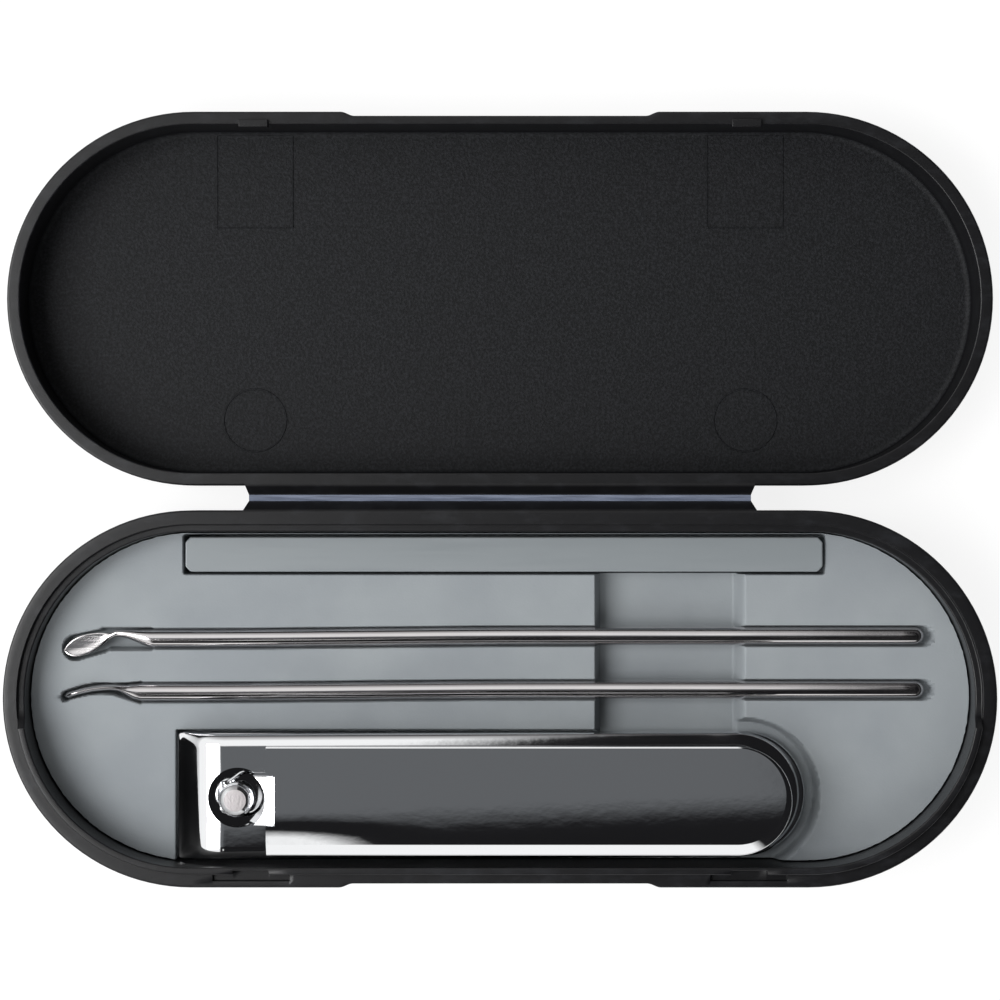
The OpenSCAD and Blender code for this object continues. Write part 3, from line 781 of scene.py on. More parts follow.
class MANICURE_OT_hinge(bpy.types.Operator):
    """Builds the thin film that joins the two shells"""

    bl_idname = "manicure.hinge"
    bl_label = "Hinge film"

    def execute(self, context):
        s = sizes()
        z = (FILM_LOW.z + FILM_HIGH.z) / 2
        reach, thick = s.film_reach + 0.03, 0.11
        steps, cuts = 12, 60
        crossing = [-reach + 2 * reach * i / steps for i in range(steps + 1)]
        section = [(y, z + 0.03 + 0.05 * (1 - (y / reach) ** 2)) for y in crossing]
        section += [(y, z - thick - 0.04 * (1 - (y / reach) ** 2)) for y in reversed(crossing)]
        strip = Loft().tube([[((-1 + 2 * i / cuts) * s.neck_half, y, h) for y, h in section]
                             for i in range(cuts + 1)])
        piece = finish_piece("hinge_film_strip", strip.tidy(), [film_with_painted_highlight()], None,
                             ["hinge_film"])
        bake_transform(piece)
        return {"FINISHED"}


# ---------------------------------------------------------------- insert


# Place across the case of each rod's axis
ROD_AXIS = {"pick": -13.5, "pusher": -18.75}
# Height of the finger recess's floor, and depth of the pockets for the rods' heads
FINGER_FLOOR, HEAD_POCKET = 3.2, 2.1
# Width of the softer left and right ends of the finger recess
FINGER_LEFT_SOFT, FINGER_RIGHT_SOFT = 0.55, 1.1
# Room round the clipper, and the extra room round its root for a finger tip
CLIPPER_PLAY, ROOT_ROOM = 0.2, 1.2


def grip():
    """Play round a rod, which its trough holds closer than a slot holds its tool."""
    return 0.6 * tools().slot_play


def trough_half():
    """Half the width of the trough that grips a rod."""
    return tools().rod / 2 + grip()


def box_distance(x, y, x0, x1, y0, y1, round_r=0.0):
    """Signed distance to a box in plan, with rounded corners: negative inside."""
    dx = abs(x - (x0 + x1) / 2) - (x1 - x0) / 2 + round_r
    dy = abs(y - (y0 + y1) / 2) - (y1 - y0) / 2 + round_r
    outside = math.hypot(max(dx, 0), max(dy, 0))
    return outside + min(max(dx, dy), 0) - round_r


def sunk(top, floor, distance, soft):
    """Height at a distance from a recess's edge, which is rounded over a small width."""
    return top - (top - floor) * smoothstep(soft, -soft, distance)


def blade_line(share):
    """The pusher blade's middle line in plan, at a share of its length from the neck."""
    return 0.35 * math.sin(math.pi * share) - 0.65 * share * share


def blade_half(share):
    return tools().blade_thick * (1 - 0.15 * share) / 2


def pick_pocket(x, y):
    """Signed distance to the pocket that follows the ear pick's bowl and neck."""
    t = tools()
    x0, axis = PICK_LOW.x, ROD_AXIS["pick"]
    axis += rod_bow(x)
    tip, neck = Vector((x0 + 1.1, axis - 0.85)), Vector((x0 + t.bowl - 1.45, axis - 0.25))
    along = neck - tip
    share = min(1.0, max(0.0, (Vector((x, y)) - tip).dot(along) / along.length_squared))
    bowl = (Vector((x, y)) - tip - along * share).length - (1.2 - 0.1 * share)
    return min(bowl, box_distance(x, y, neck.x, x0 + t.bowl + 3.7, axis - trough_half(),
                                  axis + trough_half(), 0.2))


def pusher_pocket(x, y):
    """Signed distance to the pocket that follows the pusher's bent blade."""
    t = tools()
    x0, axis = PUSHER_LOW.x, ROD_AXIS["pusher"]
    axis += rod_bow(x) * smoothstep(x0 + 2, x0 + t.blade, x)
    share = min(1.0, max(0.0, (x0 + t.blade - x) / t.blade))
    middle, half = axis + blade_line(share), blade_half(share) + grip()
    blade = max(abs(y - middle) - half, x0 - x, x - x0 - t.blade)
    tip = math.hypot(x - x0 - 0.2, y - axis - blade_line(1.0)) - 0.42
    start, end = x0 + t.blade * 0.7, x0 + t.blade + 0.5
    widen = min(1.0, max(0.0, (x - start) / (end - start)))
    line, slim = blade_line(0.3) * (1 - widen), (blade_half(0.3) + grip()) * (1 - widen)
    low, high = line - slim - trough_half() * widen, line + slim + trough_half() * widen
    flare = max(axis + low - y, y - axis - high, start - x, x - end - 0.1)
    return min(blade, tip, flare)


def insert_height(x, y):
    """Height of the insert's top at a place in plan."""
    t = tools()
    top, play, trough = INSERT_HIGH.z, t.slot_play, trough_half()
    slot = box_distance(x, y, FILE_LOW.x - play, FILE_HIGH.x + play, FILE_LOW.y - play,
                        FILE_HIGH.y + play, 0.2)
    heights = [top, sunk(top, FILE_LOW.z, slot, 0.1)]
    for axis, pocket, low, high, head in (
            (ROD_AXIS["pick"], pick_pocket, PICK_LOW.x, PICK_HIGH.x, t.bowl + 3.6),
            (ROD_AXIS["pusher"], pusher_pocket, PUSHER_LOW.x, PUSHER_HIGH.x, t.blade + 0.4)):
        aside = y - axis - rod_bow(x)
        if abs(aside) > 3.2:
            continue
        d = box_distance(x, aside, low + head - trough, high + 0.8, -trough, trough, trough)
        if x > low + head and d < 0.2:
            reach = max(0.0, 1 - (aside / trough) ** 2)
            floor = top + 0.4 - t.rod / 2 - trough * math.sqrt(reach)
            heights.append(sunk(top, floor, d, 0.1))
        if x < low + head + 0.6:
            heights.append(sunk(top, top - HEAD_POCKET, pocket(x, y), 0.16))
    left, right = t.finger_left, t.finger_left + t.finger_length
    if UPPER_HIGH.y - 0.5 < y < FILE_LOW.y - play + 0.5:
        side = smoothstep(left - 0.1, left + FINGER_LEFT_SOFT, x)
        side *= smoothstep(right + 0.05, right - FINGER_RIGHT_SOFT, x)
        heights.append(top - (top - FINGER_FLOOR) * side)
    root = LOWER_HIGH.x - (LOWER_HIGH.y - LOWER_LOW.y) / 2
    middle, half = (UPPER_HIGH.y + UPPER_LOW.y) / 2, (UPPER_HIGH.y - UPPER_LOW.y) / 2
    disc = math.hypot(x - root, y - middle) - half - ROOT_ROOM
    # The clipper's pocket runs out through the insert's front
    slab = box_distance(x, y, LOWER_LOW.x - CLIPPER_PLAY, root, -60, UPPER_HIGH.y + CLIPPER_PLAY)
    heights += [sunk(top, LOWER_LOW.z, disc, 0.3), sunk(top, LOWER_LOW.z, slab, 0.1)]
    return min(heights)


def spread(low, high, step, edges, dense, fine=0.08, reach=0.24):
    """Grid lines between two ends, closer in dense spans (start, end, step) and at the edges."""
    lines = [low]
    while lines[-1] < high:
        close = [c for a, b, c in dense if a <= lines[-1] <= b]
        lines.append(min(high, lines[-1] + min(close + [step])))
    for edge in edges:
        lines = [v for v in lines if abs(v - edge) > reach]
        lines += [edge - reach + fine * i for i in range(int(2 * reach / fine) + 1)]
    lines = sorted(v for v in lines if low <= v <= high)
    kept = [lines[0]]
    for value in lines[1:]:
        if value - kept[-1] > fine * 0.6:
            kept.append(value)
    return kept


class MANICURE_OT_insert(bpy.types.Operator):
    """Builds the soft insert with its slots, finger recess and clipper pocket, and its cut edge"""

    bl_idname = "manicure.insert"
    bl_label = "Insert"

    def execute(self, context):
        t = tools()
        play = t.slot_play
        x0, x1, y0, y1 = INSERT_LOW.x, INSERT_HIGH.x, INSERT_LOW.y, INSERT_HIGH.y
        radius, middle = (y1 - y0) / 2, (y0 + y1) / 2
        half = (x1 - x0) / 2 - radius
        trough = t.rod / 2 + play
        left, right = t.finger_left, t.finger_left + t.finger_length
        x_edges = [FILE_LOW.x - play, FILE_HIGH.x + play, left, right - FINGER_RIGHT_SOFT, right,
                   LOWER_LOW.x - CLIPPER_PLAY]
        y_edges = [FILE_HIGH.y + play, FILE_LOW.y - play, UPPER_HIGH.y + CLIPPER_PLAY]
        for axis in ROD_AXIS.values():
            y_edges += [axis - trough, axis + trough]
        # Dense spans lie round the rods' heads and the clipper's root, and across clipper and rods
        step, heads, root = 0.36, (PICK_LOW.x - 0.6, PICK_LOW.x + 9.2, 0.12), (22.0, 31.5, 0.2)
        clipper, rods = (-36.0, -21.4, 0.2), (-20.6, -11.8, 0.12)
        xs = spread(x0, x1, step, x_edges, (heads, root))
        ys = spread(y0, y1, step, y_edges, (clipper, rods))
        loft = Loft()
        verts, inside = {}, set()
        # Places up to a grid step outside are drawn in to the trimmed edge, which wavers a little
        outside, just_inside, ragged = 0.75, -0.02, 0.06
        for i, x in enumerate(xs):
            for j, y in enumerate(ys):
                foot = max(-half, min(half, x))
                away = Vector((x - foot, y - middle))
                distance = math.hypot(*away) - radius
                if distance > outside:
                    continue
                if distance > just_inside:
                    waver = ragged * noise.noise(Vector((x * 1.7, y * 1.7, 0.0)))
                    away = away.normalized() * (radius - 0.03 + waver)
                    spot = (foot + away.x, middle + away.y)
                else:
                    spot = (x, y)
                if distance < just_inside:
                    inside.add((i, j))
                verts[i, j] = loft.ring([(*spot, insert_height(*spot))])[0]
        for i, j in verts:
            corners = [(i, j), (i + 1, j), (i + 1, j + 1), (i, j + 1)]
            if all(c in verts for c in corners) and inside.intersection(corners):
                loft.face([verts[c] for c in corners])
        for vert in [v for v in loft.bm.verts if not v.link_faces]:
            loft.bm.verts.remove(vert)
        bmesh.ops.remove_doubles(loft.bm, verts=loft.bm.verts, dist=0.02 * MM)
        rim = [e for e in loft.bm.edges if len(e.link_faces) == 1]
        for made in bmesh.ops.extrude_edge_only(loft.bm, edges=rim)["geom"]:
            if isinstance(made, bmesh.types.BMVert):
                made.co.z = (INSERT_LOW.z + 0.02) * MM
            elif isinstance(made, bmesh.types.BMFace):
                made.material_index = 1
        under = [e for e in loft.bm.edges if len(e.link_faces) == 1]
        bmesh.ops.holes_fill(loft.bm, edges=under, sides=0)
        bmesh.ops.recalc_face_normals(loft.bm, faces=loft.bm.faces)
        finish_piece("insert_moulding", loft.bm, [moulded_elastomer(), trimmed_elastomer()], "base",
                     ["insert"], 50)
        return {"FINISHED"}


# ---------------------------------------------------------------- tools


class MANICURE_OT_file(bpy.types.Operator):
    """Builds the glass nail file, a ground bar with chamfered corners"""

    bl_idname = "manicure.file"
    bl_label = "Glass file"

    def execute(self, context):
        c = tools().file_chamfer
        x0, x1, y0, y1 = FILE_LOW.x, FILE_HIGH.x, FILE_LOW.y, FILE_HIGH.y
        plan = [(x0 + c, y0), (x1 - c, y0), (x1, y0 + c), (x1, y1 - c), (x1 - c, y1), (x0 + c, y1),
                (x0, y1 - c), (x0, y0 + c)]
        bar = Loft().tube([[(x, y, z) for x, y in plan] for z in (FILE_LOW.z, FILE_HIGH.z)])
        finish_piece("glass_nail_file", soften(bar.tidy(), 0.16), [etched_glass()], "file",
                     ["glass_file"], weighted=True)
        return {"FINISHED"}


def rod_bow(x):
    """How far a rod bows towards the front at a place along it."""
    return -tools().rod_bow * smoothstep(5.0, -33.0, x)


def oval(x, y, z, a, b, turn=0.0, bend=0.0):
    """An upright ring across a rod, of half width a and half height b, turned and cupped."""
    points = []
    count, c, q = 44, math.cos(turn), math.sin(turn)
    for k in range(count):
        angle = 2 * math.pi * k / count
        u, v = a * math.cos(angle), b * math.sin(angle)
        v += bend * (math.cos(angle) ** 2 - 0.5)
        points.append((x, y + u * c - v * q, z + u * q + v * c))
    return points


def rod_tool(head, start, last, axis_y, z):
    """A rod tool from its head's rings, on along the rod and round its domed end."""
    radius = tools().rod / 2
    body, dome = [], []
    for i in range(1, 61):
        x = start + (last - radius - start) * i / 60
        body.append(oval(x, axis_y + rod_bow(x), z, radius, radius))
    for i in range(1, 10):
        a = math.radians(10 * i)
        r = max(radius * math.cos(a), 0.01)
        dome.append(oval(last - radius + radius * math.sin(a), axis_y, z, r, r))
    return Loft().tube(head + body + dome).tidy()


class MANICURE_OT_pick(bpy.types.Operator):
    """Builds the ear pick: a drawn rod whose end is forged into a small turned spoon"""

    bl_idname = "manicure.pick"
    bl_label = "Ear pick"

    def execute(self, context):
        t = tools()
        r = t.rod / 2
        z, x0, axis = PICK_HIGH.z - r, PICK_LOW.x - 0.06, ROD_AXIS["pick"]
        slim, neck = 0.38, 3.9
        head = []
        for i in range(49):
            s = 0.004 + 0.996 * i / 48
            # The spoon is an egg in plan, which hangs to the front and rises to the neck
            wide = 1.0 * math.sin(math.pi * s ** 0.72) ** 0.8
            half = max(wide, slim * smoothstep(0.5, 1.0, s), 0.02)
            shift = -1.38 + 1.2 * s + 0.44 * s ** 3
            thick = 0.16 + 0.3 * smoothstep(0.7, 1.0, s)
            head.append(oval(x0 + t.bowl * s, axis + shift, z + 0.328 - 0.8 * thick, half,
                             min(thick, half * 2), math.radians(-4) * (1 - s), 0.18 * wide))
        for i in range(1, 25):
            s = i / 24
            x = x0 + t.bowl + neck * s
            a = slim + (r - slim) * smoothstep(0.1, 1.0, s)
            b = 0.46 + (r - 0.46) * smoothstep(0.0, 0.9, s)
            head.append(oval(x, axis + r + rod_bow(x) - a, z - 0.04 * (1 - s), a, b))
        bm = rod_tool(head, x0 + t.bowl + neck, PICK_HIGH.x, axis, z)
        finish_piece("ear_pick_rod", bm, [polished_steel()], "pick", ["ear_pick"], 60)
        return {"FINISHED"}


class MANICURE_OT_pusher(bpy.types.Operator):
    """Builds the cuticle pusher: a drawn rod flattened at one end into a thin bent blade on edge"""

    bl_idname = "manicure.pusher"
    bl_label = "Cuticle pusher"

    def execute(self, context):
        t = tools()
        r = t.rod / 2
        x0, axis = PUSHER_LOW.x, ROD_AXIS["pusher"]
        z, tall = (PUSHER_LOW.z + PUSHER_HIGH.z) / 2, (PUSHER_HIGH.z - PUSHER_LOW.z) / 2
        neck = 0.6
        head = []
        for i in range(37):
            x = x0 + 0.01 + (t.blade + neck) * i / 36
            share = min(1.0, max(0.0, (x0 + t.blade - x) / t.blade))
            grow = smoothstep(t.blade - 2.0, t.blade + neck, x - x0)
            tip = max(0.02, math.sqrt(max(0.0, 1 - (1 - min(1.0, (x - x0) / tall)) ** 2)))
            high = tall * tip * (1 - 0.35 * smoothstep(1.4, t.blade, x - x0))
            half = min(blade_half(share), 0.5 * tip)
            head.append(oval(x, axis + blade_line(share) * (1 - grow) + rod_bow(x) * grow, z,
                             half + (r - half) * grow, high + (r - high) * grow))
        bm = rod_tool(head, x0 + t.blade + neck, PUSHER_HIGH.x, axis, z)
        finish_piece("cuticle_pusher_rod", bm, [polished_steel()], "pusher",
                     ["cuticle_pusher"], 60)
        return {"FINISHED"}


# ---------------------------------------------------------------- nail clipper


def clip_middle():
    return (LEVER_LOW.y + LEVER_HIGH.y) / 2


def plate(loft, x0, x1, half, corner, stations, rings, middle_y):
    """A plate with a square front of rounded corners and a round rear, built from rings. Each ring
    is (inset, height function of x). Stations are shares of the length up to the round end."""
    built = []
    for inset, height in rings:
        front, h, c, centre = x0 + inset, half - inset, corner + 0.3 * inset, x1 - half
        turn = [math.radians(90 * i / 12) for i in range(13)]
        line = [(front + c * (1 - math.cos(a)), h - c * (1 - math.sin(a))) for a in turn]
        line += [(front + c + (centre - front - c) * share, h) for share in stations]
        for i in range(1, 33):
            a = math.radians(90 * i / 32)
            line.append((centre + h * math.sin(a), max(h * math.cos(a), 0.0)))
        left = loft.ring([(x, middle_y + y, height(x)) for x, y in line])
        right = loft.ring([(x, middle_y - y, height(x)) for x, y in line[:-1]])
        right.append(left[-1])
        built.append((left, right))
    for (la, ra), (lb, rb) in zip(built, built[1:]):
        for a, b in ((la, lb), (rb, ra)):
            loft.bridge(a, b, closed=False)
        loft.face([la[0], lb[0], rb[0], ra[0]])
    for left, right in (built[0], built[-1]):
        loft.bridge(left, right, closed=False)


def edge_rings(top, bottom, over, under, count=12):
    """Rings over a plate's two rounded edges, from the top's flat to the bottom's."""
    def limited(x, radius):
        return min(radius * 0.62, (top(x) - bottom(x)) * 0.62)
    rings = []
    for i in range(count + 1):
        a = math.radians(90 * i / count)
        rings.append((over * (1 - math.sin(a)),
                      lambda x, a=a: top(x) - limited(x, over) * (1 - math.cos(a))))
    for i in range(count + 1):
        a = math.radians(90 * i / count)
        rings.append((under * (1 - math.cos(a)),
                      lambda x, a=a: bottom(x) + 0.5 * limited(x, under) * (1 - math.sin(a))))
    return rings


def lip_drop(d):
    """How far the lip has come down at a distance from where it starts: an arc, then a bevel."""
    t = tools()
    d = max(0.0, min(d, t.lip))
    bend = t.lip_bend * math.sin(t.lip_angle)
    if d < bend:
        return t.lip_bend - math.sqrt(t.lip_bend ** 2 - d ** 2)
    return t.lip_bend * (1 - math.cos(t.lip_angle)) + (d - bend) * math.tan(t.lip_angle)


def jaw_shapes():
    """Places and heights that both jaws share, in millimetres."""
    t = tools()
    root = LOWER_HIGH.x - 9.9
    root_z = UPPER_LOW.z if UPPER_LOW.z > LOWER_LOW.z + t.jaw else LOWER_LOW.z + t.jaw + 0.03
    lip_x = UPPER_LOW.x + t.lip
    rise = UPPER_HIGH.z - t.jaw - root_z
    return root, root_z, lip_x, rise


def upper_top(x):
    root, root_z, lip_x, rise = jaw_shapes()
    t = tools()
    slope = min(1.0, max(0.0, (root - x) / (root - lip_x)))
    # Polishing has thinned the root a little towards the rear
    return root_z + t.jaw + rise * slope - lip_drop(lip_x - x) - 0.04 * max(0.0, x - root)


def upper_bottom(x):
    """The jaw's inner face follows its top, and near the cutting edge it is ground almost level."""
    t = tools()
    tip = UPPER_LOW.x
    if x > tip + t.lip:
        return max(upper_top(x) - t.jaw, jaw_shapes()[1])
    ground = upper_top(tip) + t.grind * (x - tip)
    return min(max(upper_top(x) - t.jaw, ground), upper_top(x) - 0.08)


def lower_top(x):
    t = tools()
    edge = upper_top(UPPER_LOW.x) - 1.6
    flat = LOWER_LOW.z + t.jaw
    return flat + (edge - flat) * smoothstep(1.6, 0.1, x - LOWER_LOW.x)


def lower_bottom(x):
    t = tools()
    edge = lower_top(LOWER_LOW.x) - 0.16
    d = max(0.0, min(1.0, 1 - (x - LOWER_LOW.x) / t.lip))
    return LOWER_LOW.z + (edge - LOWER_LOW.z) * (1 - math.sqrt(max(1 - d * d, 0.0)))


def jaw_bm(low, high, top, bottom, over):
    loft = Loft()
    t = tools()
    half = (high.y - low.y) / 2
    share = t.lip / (high.x - low.x - half)
    stations = [share * 1.05 * (i / 22) ** 1.4 for i in range(23)]
    stations += [share * 1.05 + (1 - share * 1.05) * i / 26 for i in range(1, 27)]
    stations = [s for s in stations if 0 <= s <= 1]
    plate(loft, low.x, high.x, half, 0.45, stations, edge_rings(top, bottom, over, 0.2, 16),
          (low.y + high.y) / 2)
    return loft.tidy()


def tilted_disc(x, y, radius, z):
    """A round cutter whose floor falls away towards the handle."""
    loft = lathe(cylinder(radius, 0.0, 5.0), (x, y, 0), 72)
    for vert in loft.bm.verts:
        vert.co.z += (z - 0.15 * (vert.co.x / MM - x)) * MM
    return loft.tidy()


def pin_place():
    t = tools()
    return UPPER_LOW.x + t.pin_from_edge, clip_middle()


class MANICURE_OT_jaws(bpy.types.Operator):
    """Builds the clipper's two sprung jaws, with their lips, the pin's dished hole and the rivet"""

    bl_idname = "manicure.jaws"
    bl_label = "Clipper jaws and rivet"

    def execute(self, context):
        t = tools()
        chrome = chrome_plate()
        px, py = pin_place()
        lower = jaw_bm(LOWER_LOW, LOWER_HIGH, lower_top, lower_bottom, 0.3)
        finish_piece("clipper_jaw_lower", lower, [chrome], "clipper",
                     ["clipper_lower_jaw"], 30)
        upper = jaw_bm(UPPER_LOW, UPPER_HIGH, upper_top, upper_bottom, t.jaw_round)
        rim = upper_top(px)
        hole = lathe(cylinder(t.pin / 2 + 0.35, rim - 4, rim + 2), (px, py, 0))
        upper = boolean(upper, hole.tidy())
        upper = boolean(upper, tilted_disc(px, py, t.dish - 0.05, rim - 0.7))
        finish_piece("clipper_jaw_upper", upper, [chrome], "upper_jaw",
                     ["clipper_upper_jaw"], 10)
        rx, ry = (RIVET_LOW.x + RIVET_HIGH.x) / 2, (RIVET_LOW.y + RIVET_HIGH.y) / 2
        r, shank, low, top = (RIVET_HIGH.x - RIVET_LOW.x) / 2, 1.0, RIVET_LOW.z, RIVET_HIGH.z
        rivet = lathe(rounded([
            (TIP, low, 0), (shank, low, 0.1), (shank, top - 0.85, 0.05), (r, top - 0.85, 0.12),
            (r, top - 0.25, 0.35), (TIP, top, 0)]), (rx, ry, 0))
        finish_piece("clipper_rivet_head", rivet.tidy(), [turned_chrome()], "clipper",
                     ["clipper_rivet"])
        return {"FINISHED"}


class MANICURE_OT_pin(bpy.types.Operator):
    """Builds the turned pin with its domed head and the notch that takes the lever's bar"""

    bl_idname = "manicure.pin"
    bl_label = "Clipper pin"

    def execute(self, context):
        t = tools()
        px, py = pin_place()
        top = PIN_HIGH.z
        bar_z, notch = bar_height(), 0.56
        foot = (PIN_HIGH.x - PIN_LOW.x) / 2
        shaft, head = t.pin / 2, t.pin_head / 2
        turned = lathe(rounded([
            (TIP, PIN_LOW.z, 0), (foot, PIN_LOW.z, 0.08), (shaft, PIN_LOW.z + 0.9, 0.05),
            (shaft, bar_z + notch + 0.02, 0.02), (head, bar_z + notch + 0.06, 0.08),
            (head, top - 0.95, 0.3), (head - 0.2, top - 0.3, 0.3), (head - 0.6, top, 0.04),
            (TIP, top, 0)]), (px, py, 0), 72)
        bx, wide = bar_place(), 3
        groove = lathe(cylinder(notch, -wide, wide), (bx, py, bar_z), 40, "Y")
        bm = boolean(turned.tidy(), groove.tidy())
        mouth = box_bm((bx - wide, py - wide, bar_z - notch), (bx, py + wide, bar_z + notch))
        bm = boolean(bm, mouth)
        for face in bm.faces:
            face.material_index = 1 if face.calc_center_median().z > (top - 0.03) * MM else 0
        finish_piece("clipper_pin_turned", bm, [turned_chrome(), blasted_steel()], "pin",
                     ["clipper_pin"], 35, weighted=True)
        return {"FINISHED"}


def bar_place():
    return LEVER_LOW.x + 0.5


def bar_height():
    return LEVER_LOW.z + 0.5


def lever_outline(x0, x1, half, straight=34, turn=48):
    """Stations on the lever's edge, (x, y, normal x, normal y): from its front on the far side,
    round its rear end and back."""
    centre = x1 - half
    side = [(x0 + (centre - x0) * i / straight, half, 0.0, 1.0) for i in range(straight)]
    line = list(side)
    for i in range(turn + 1):
        a = math.radians(90 - 180 * i / turn)
        line.append((centre + half * math.cos(a), half * math.sin(a), math.cos(a), math.sin(a)))
    return line + [(x, -y, nx, -ny) for x, y, nx, ny in reversed(side)]


def lever_bm(x0, x1, half, middle_y, top, low):
    """The pressed handle: a crowned panel whose edge folds down, narrow at the far side and wide at
    the near side, with a sheared front."""
    t = tools()
    loft = Loft()

    def panel(x, y):
        # The near edge rolls off a little more towards the front
        roll = max(0.0, -y - 0.35 * half) / (0.4 * half)
        return top - t.crown * (y / half) ** 2 - 0.15 * roll ** 2 * smoothstep(x0 + 17, x0 + 1, x)

    outline = lever_outline(x0, x1, half)
    sections = []
    for x, y, nx, ny in outline:
        wide = 0.65 - 0.5 * ny
        crease = panel(x, y - ny * wide)
        line = [(wide, crease)]
        bend = min(0.3, 0.28 * wide)
        # The bend starts at the fold's own slope, which is steeper on the near side
        slope = 0.43 - 0.13 * ny
        start = math.atan(slope / 1.3)
        bevel = slope * (wide - bend * (1 - math.sin(start)))
        for i in range(13):
            a = start + (math.pi / 2 - start) * i / 12
            line.append((bend * (1 - math.sin(a)),
                         crease - bevel - bend * 1.3 * (math.cos(start) - math.cos(a))))
        line += [(0.0, low + 0.12), (0.1, low), (t.sheet - 0.1, low), (t.sheet, low + 0.12),
                 (t.sheet, top - t.sheet - 0.4), (t.sheet + 0.4, top - t.sheet - t.crown)]
        sections.append(loft.ring([(x - nx * d, middle_y + y - ny * d, z) for d, z in line]))
    for a, b in zip(sections, sections[1:]):
        loft.bridge(a, b, closed=False)
    count, cross = len(sections), 12
    rear = count // 2
    rows = []
    for i in range(rear):
        a, b = sections[i][0].co / MM, sections[count - 1 - i][0].co / MM
        row = [sections[i][0]]
        for k in range(1, cross):
            p = a.lerp(b, k / cross)
            row += loft.ring([(p.x, p.y, panel(p.x, p.y - middle_y))])
        rows.append(row + [sections[count - 1 - i][0]])
    for a, b in zip(rows, rows[1:]):
        loft.bridge(a, b, closed=False)
    for k in range(cross):
        loft.face([rows[-1][k], rows[-1][k + 1], sections[rear][0]])
    for i in range(rear):
        loft.face([sections[i][-1], sections[i + 1][-1], sections[count - 2 - i][-1],
                   sections[count - 1 - i][-1]])
    loft.face(rows[0] + sections[-1][1:] + sections[0][:0:-1])
    return loft.tidy()


class MANICURE_OT_lever(bpy.types.Operator):
    """Builds the pressed lever: a crowned panel with turned-down edges and a windowed nose"""

    bl_idname = "manicure.lever"
    bl_label = "Clipper lever"

    def execute(self, context):
        t = tools()
        px, py = pin_place()
        top, low = LEVER_HIGH.z, LEVER_HIGH.z - 1.5
        x0, x1 = px + 3.0, LEVER_HIGH.x
        body = lever_bm(x0, x1, (LEVER_HIGH.y - LEVER_LOW.y) / 2 + 0.06, py - 0.06, top, low)
        side = t.nose / 2 + 0.06
        room = box_bm((x0 - 1, py - side, low - 1), (x0 + 0.85, py + side, top + 1))
        body = boolean(body, soften(room, 0.2))
        body = join(body, nose_bm(px, py, x0, top))
        finish_piece("clipper_lever_pressed", body, [chrome_plate()], "lever",
                     ["clipper_lever"], 13)
        return {"FINISHED"}


def slot_bm(xa, xb, y, radius, z0, z1):
    """A round-ended upright cutter between two centres."""
    plan = []
    for centre, start in ((xb, -90), (xa, 90)):
        for i in range(25):
            a = math.radians(start + 180 * i / 24)
            plan.append((centre + radius * math.cos(a), y + radius * math.sin(a)))
    return Loft().tube([[(x, v, z) for x, v in plan] for z in (z0, z1)]).tidy()


def nose_bm(px, py, x0, top):
    """The lever's nose: a strip that folds down from the panel to a flat eye round the pin, drawn
    in to its bar, with a window that lets the pin's head through."""
    t = tools()
    bx, bz = bar_place(), bar_height()
    bar_r, bar_half, rim = 0.5, 1.4, 0.16
    under = rounded([(bx, bz - bar_r, 0), (px + 1.6, bz - bar_r, 0.1), (px + 2.6, bz - bar_r, 0.3),
                     (x0 + 1.9, top - t.sheet - 0.05, 0.6), (x0 + 3.2, top - t.sheet - 0.05, 0)], 6)
    over = rounded([(bx, bz + bar_r, 0), (px + 1.1, bz + bar_r, 0), (px + 1.15, top - 0.95, 0.05),
                    (x0 + 0.8, top - 0.05, 0.3), (x0 + 3.2, top - 0.05, 0)], 6)
    pairs = [(Vector(a), Vector(b)) for a, b in zip(under, over)]
    # More sections along the flat, where the sides draw in
    (low, high), (low_end, high_end) = pairs[:2]
    pairs[:1] = [(low.lerp(low_end, i / 8), high.lerp(high_end, i / 8)) for i in range(8)]
    sections = []
    for low, high in pairs:
        mean = (low.x + high.x) / 2
        half = bar_half + (t.nose / 2 - bar_half) * smoothstep(0.0, 1.9, mean - bx)
        inward = (low - high).normalized()
        corner = [(half - rim * (1 - math.sin(a)), rim * (1 - math.cos(a)))
                  for a in (math.radians(90 * k / 3) for k in range(4))]
        points = []
        for start, way in ((high, inward), (low, -inward)):
            far = [(start + way * deep, side) for side, deep in corner]
            near = [(p, -side) for p, side in reversed(far)]
            run = far[::-1] + near[::-1] if start is high else near + far
            points += [(p.x, py + side, p.y) for p, side in run]
        sections.append(points)
    bm = Loft().tube(sections).tidy()
    window = t.pin_head / 2 + 0.1
    reach = math.hypot(px + t.pin_head / 2 - bx, PIN_HIGH.z - bz) + 0.1
    bm = boolean(bm, slot_bm(bx + 1.45, bx + reach - window, py, window, bz - 2, bz + 5))
    bm = boolean(bm, tilted_disc(px, py, t.dish, bz + 0.2))
    bar = lathe(rounded([(TIP, -bar_half, 0), (bar_r, -bar_half, 0.12), (bar_r, bar_half, 0.12),
                         (TIP, bar_half, 0)], 4), (bx, py, bz), 32, "Y")
    return join(bm, bar.tidy())


# ---------------------------------------------------------------- stage


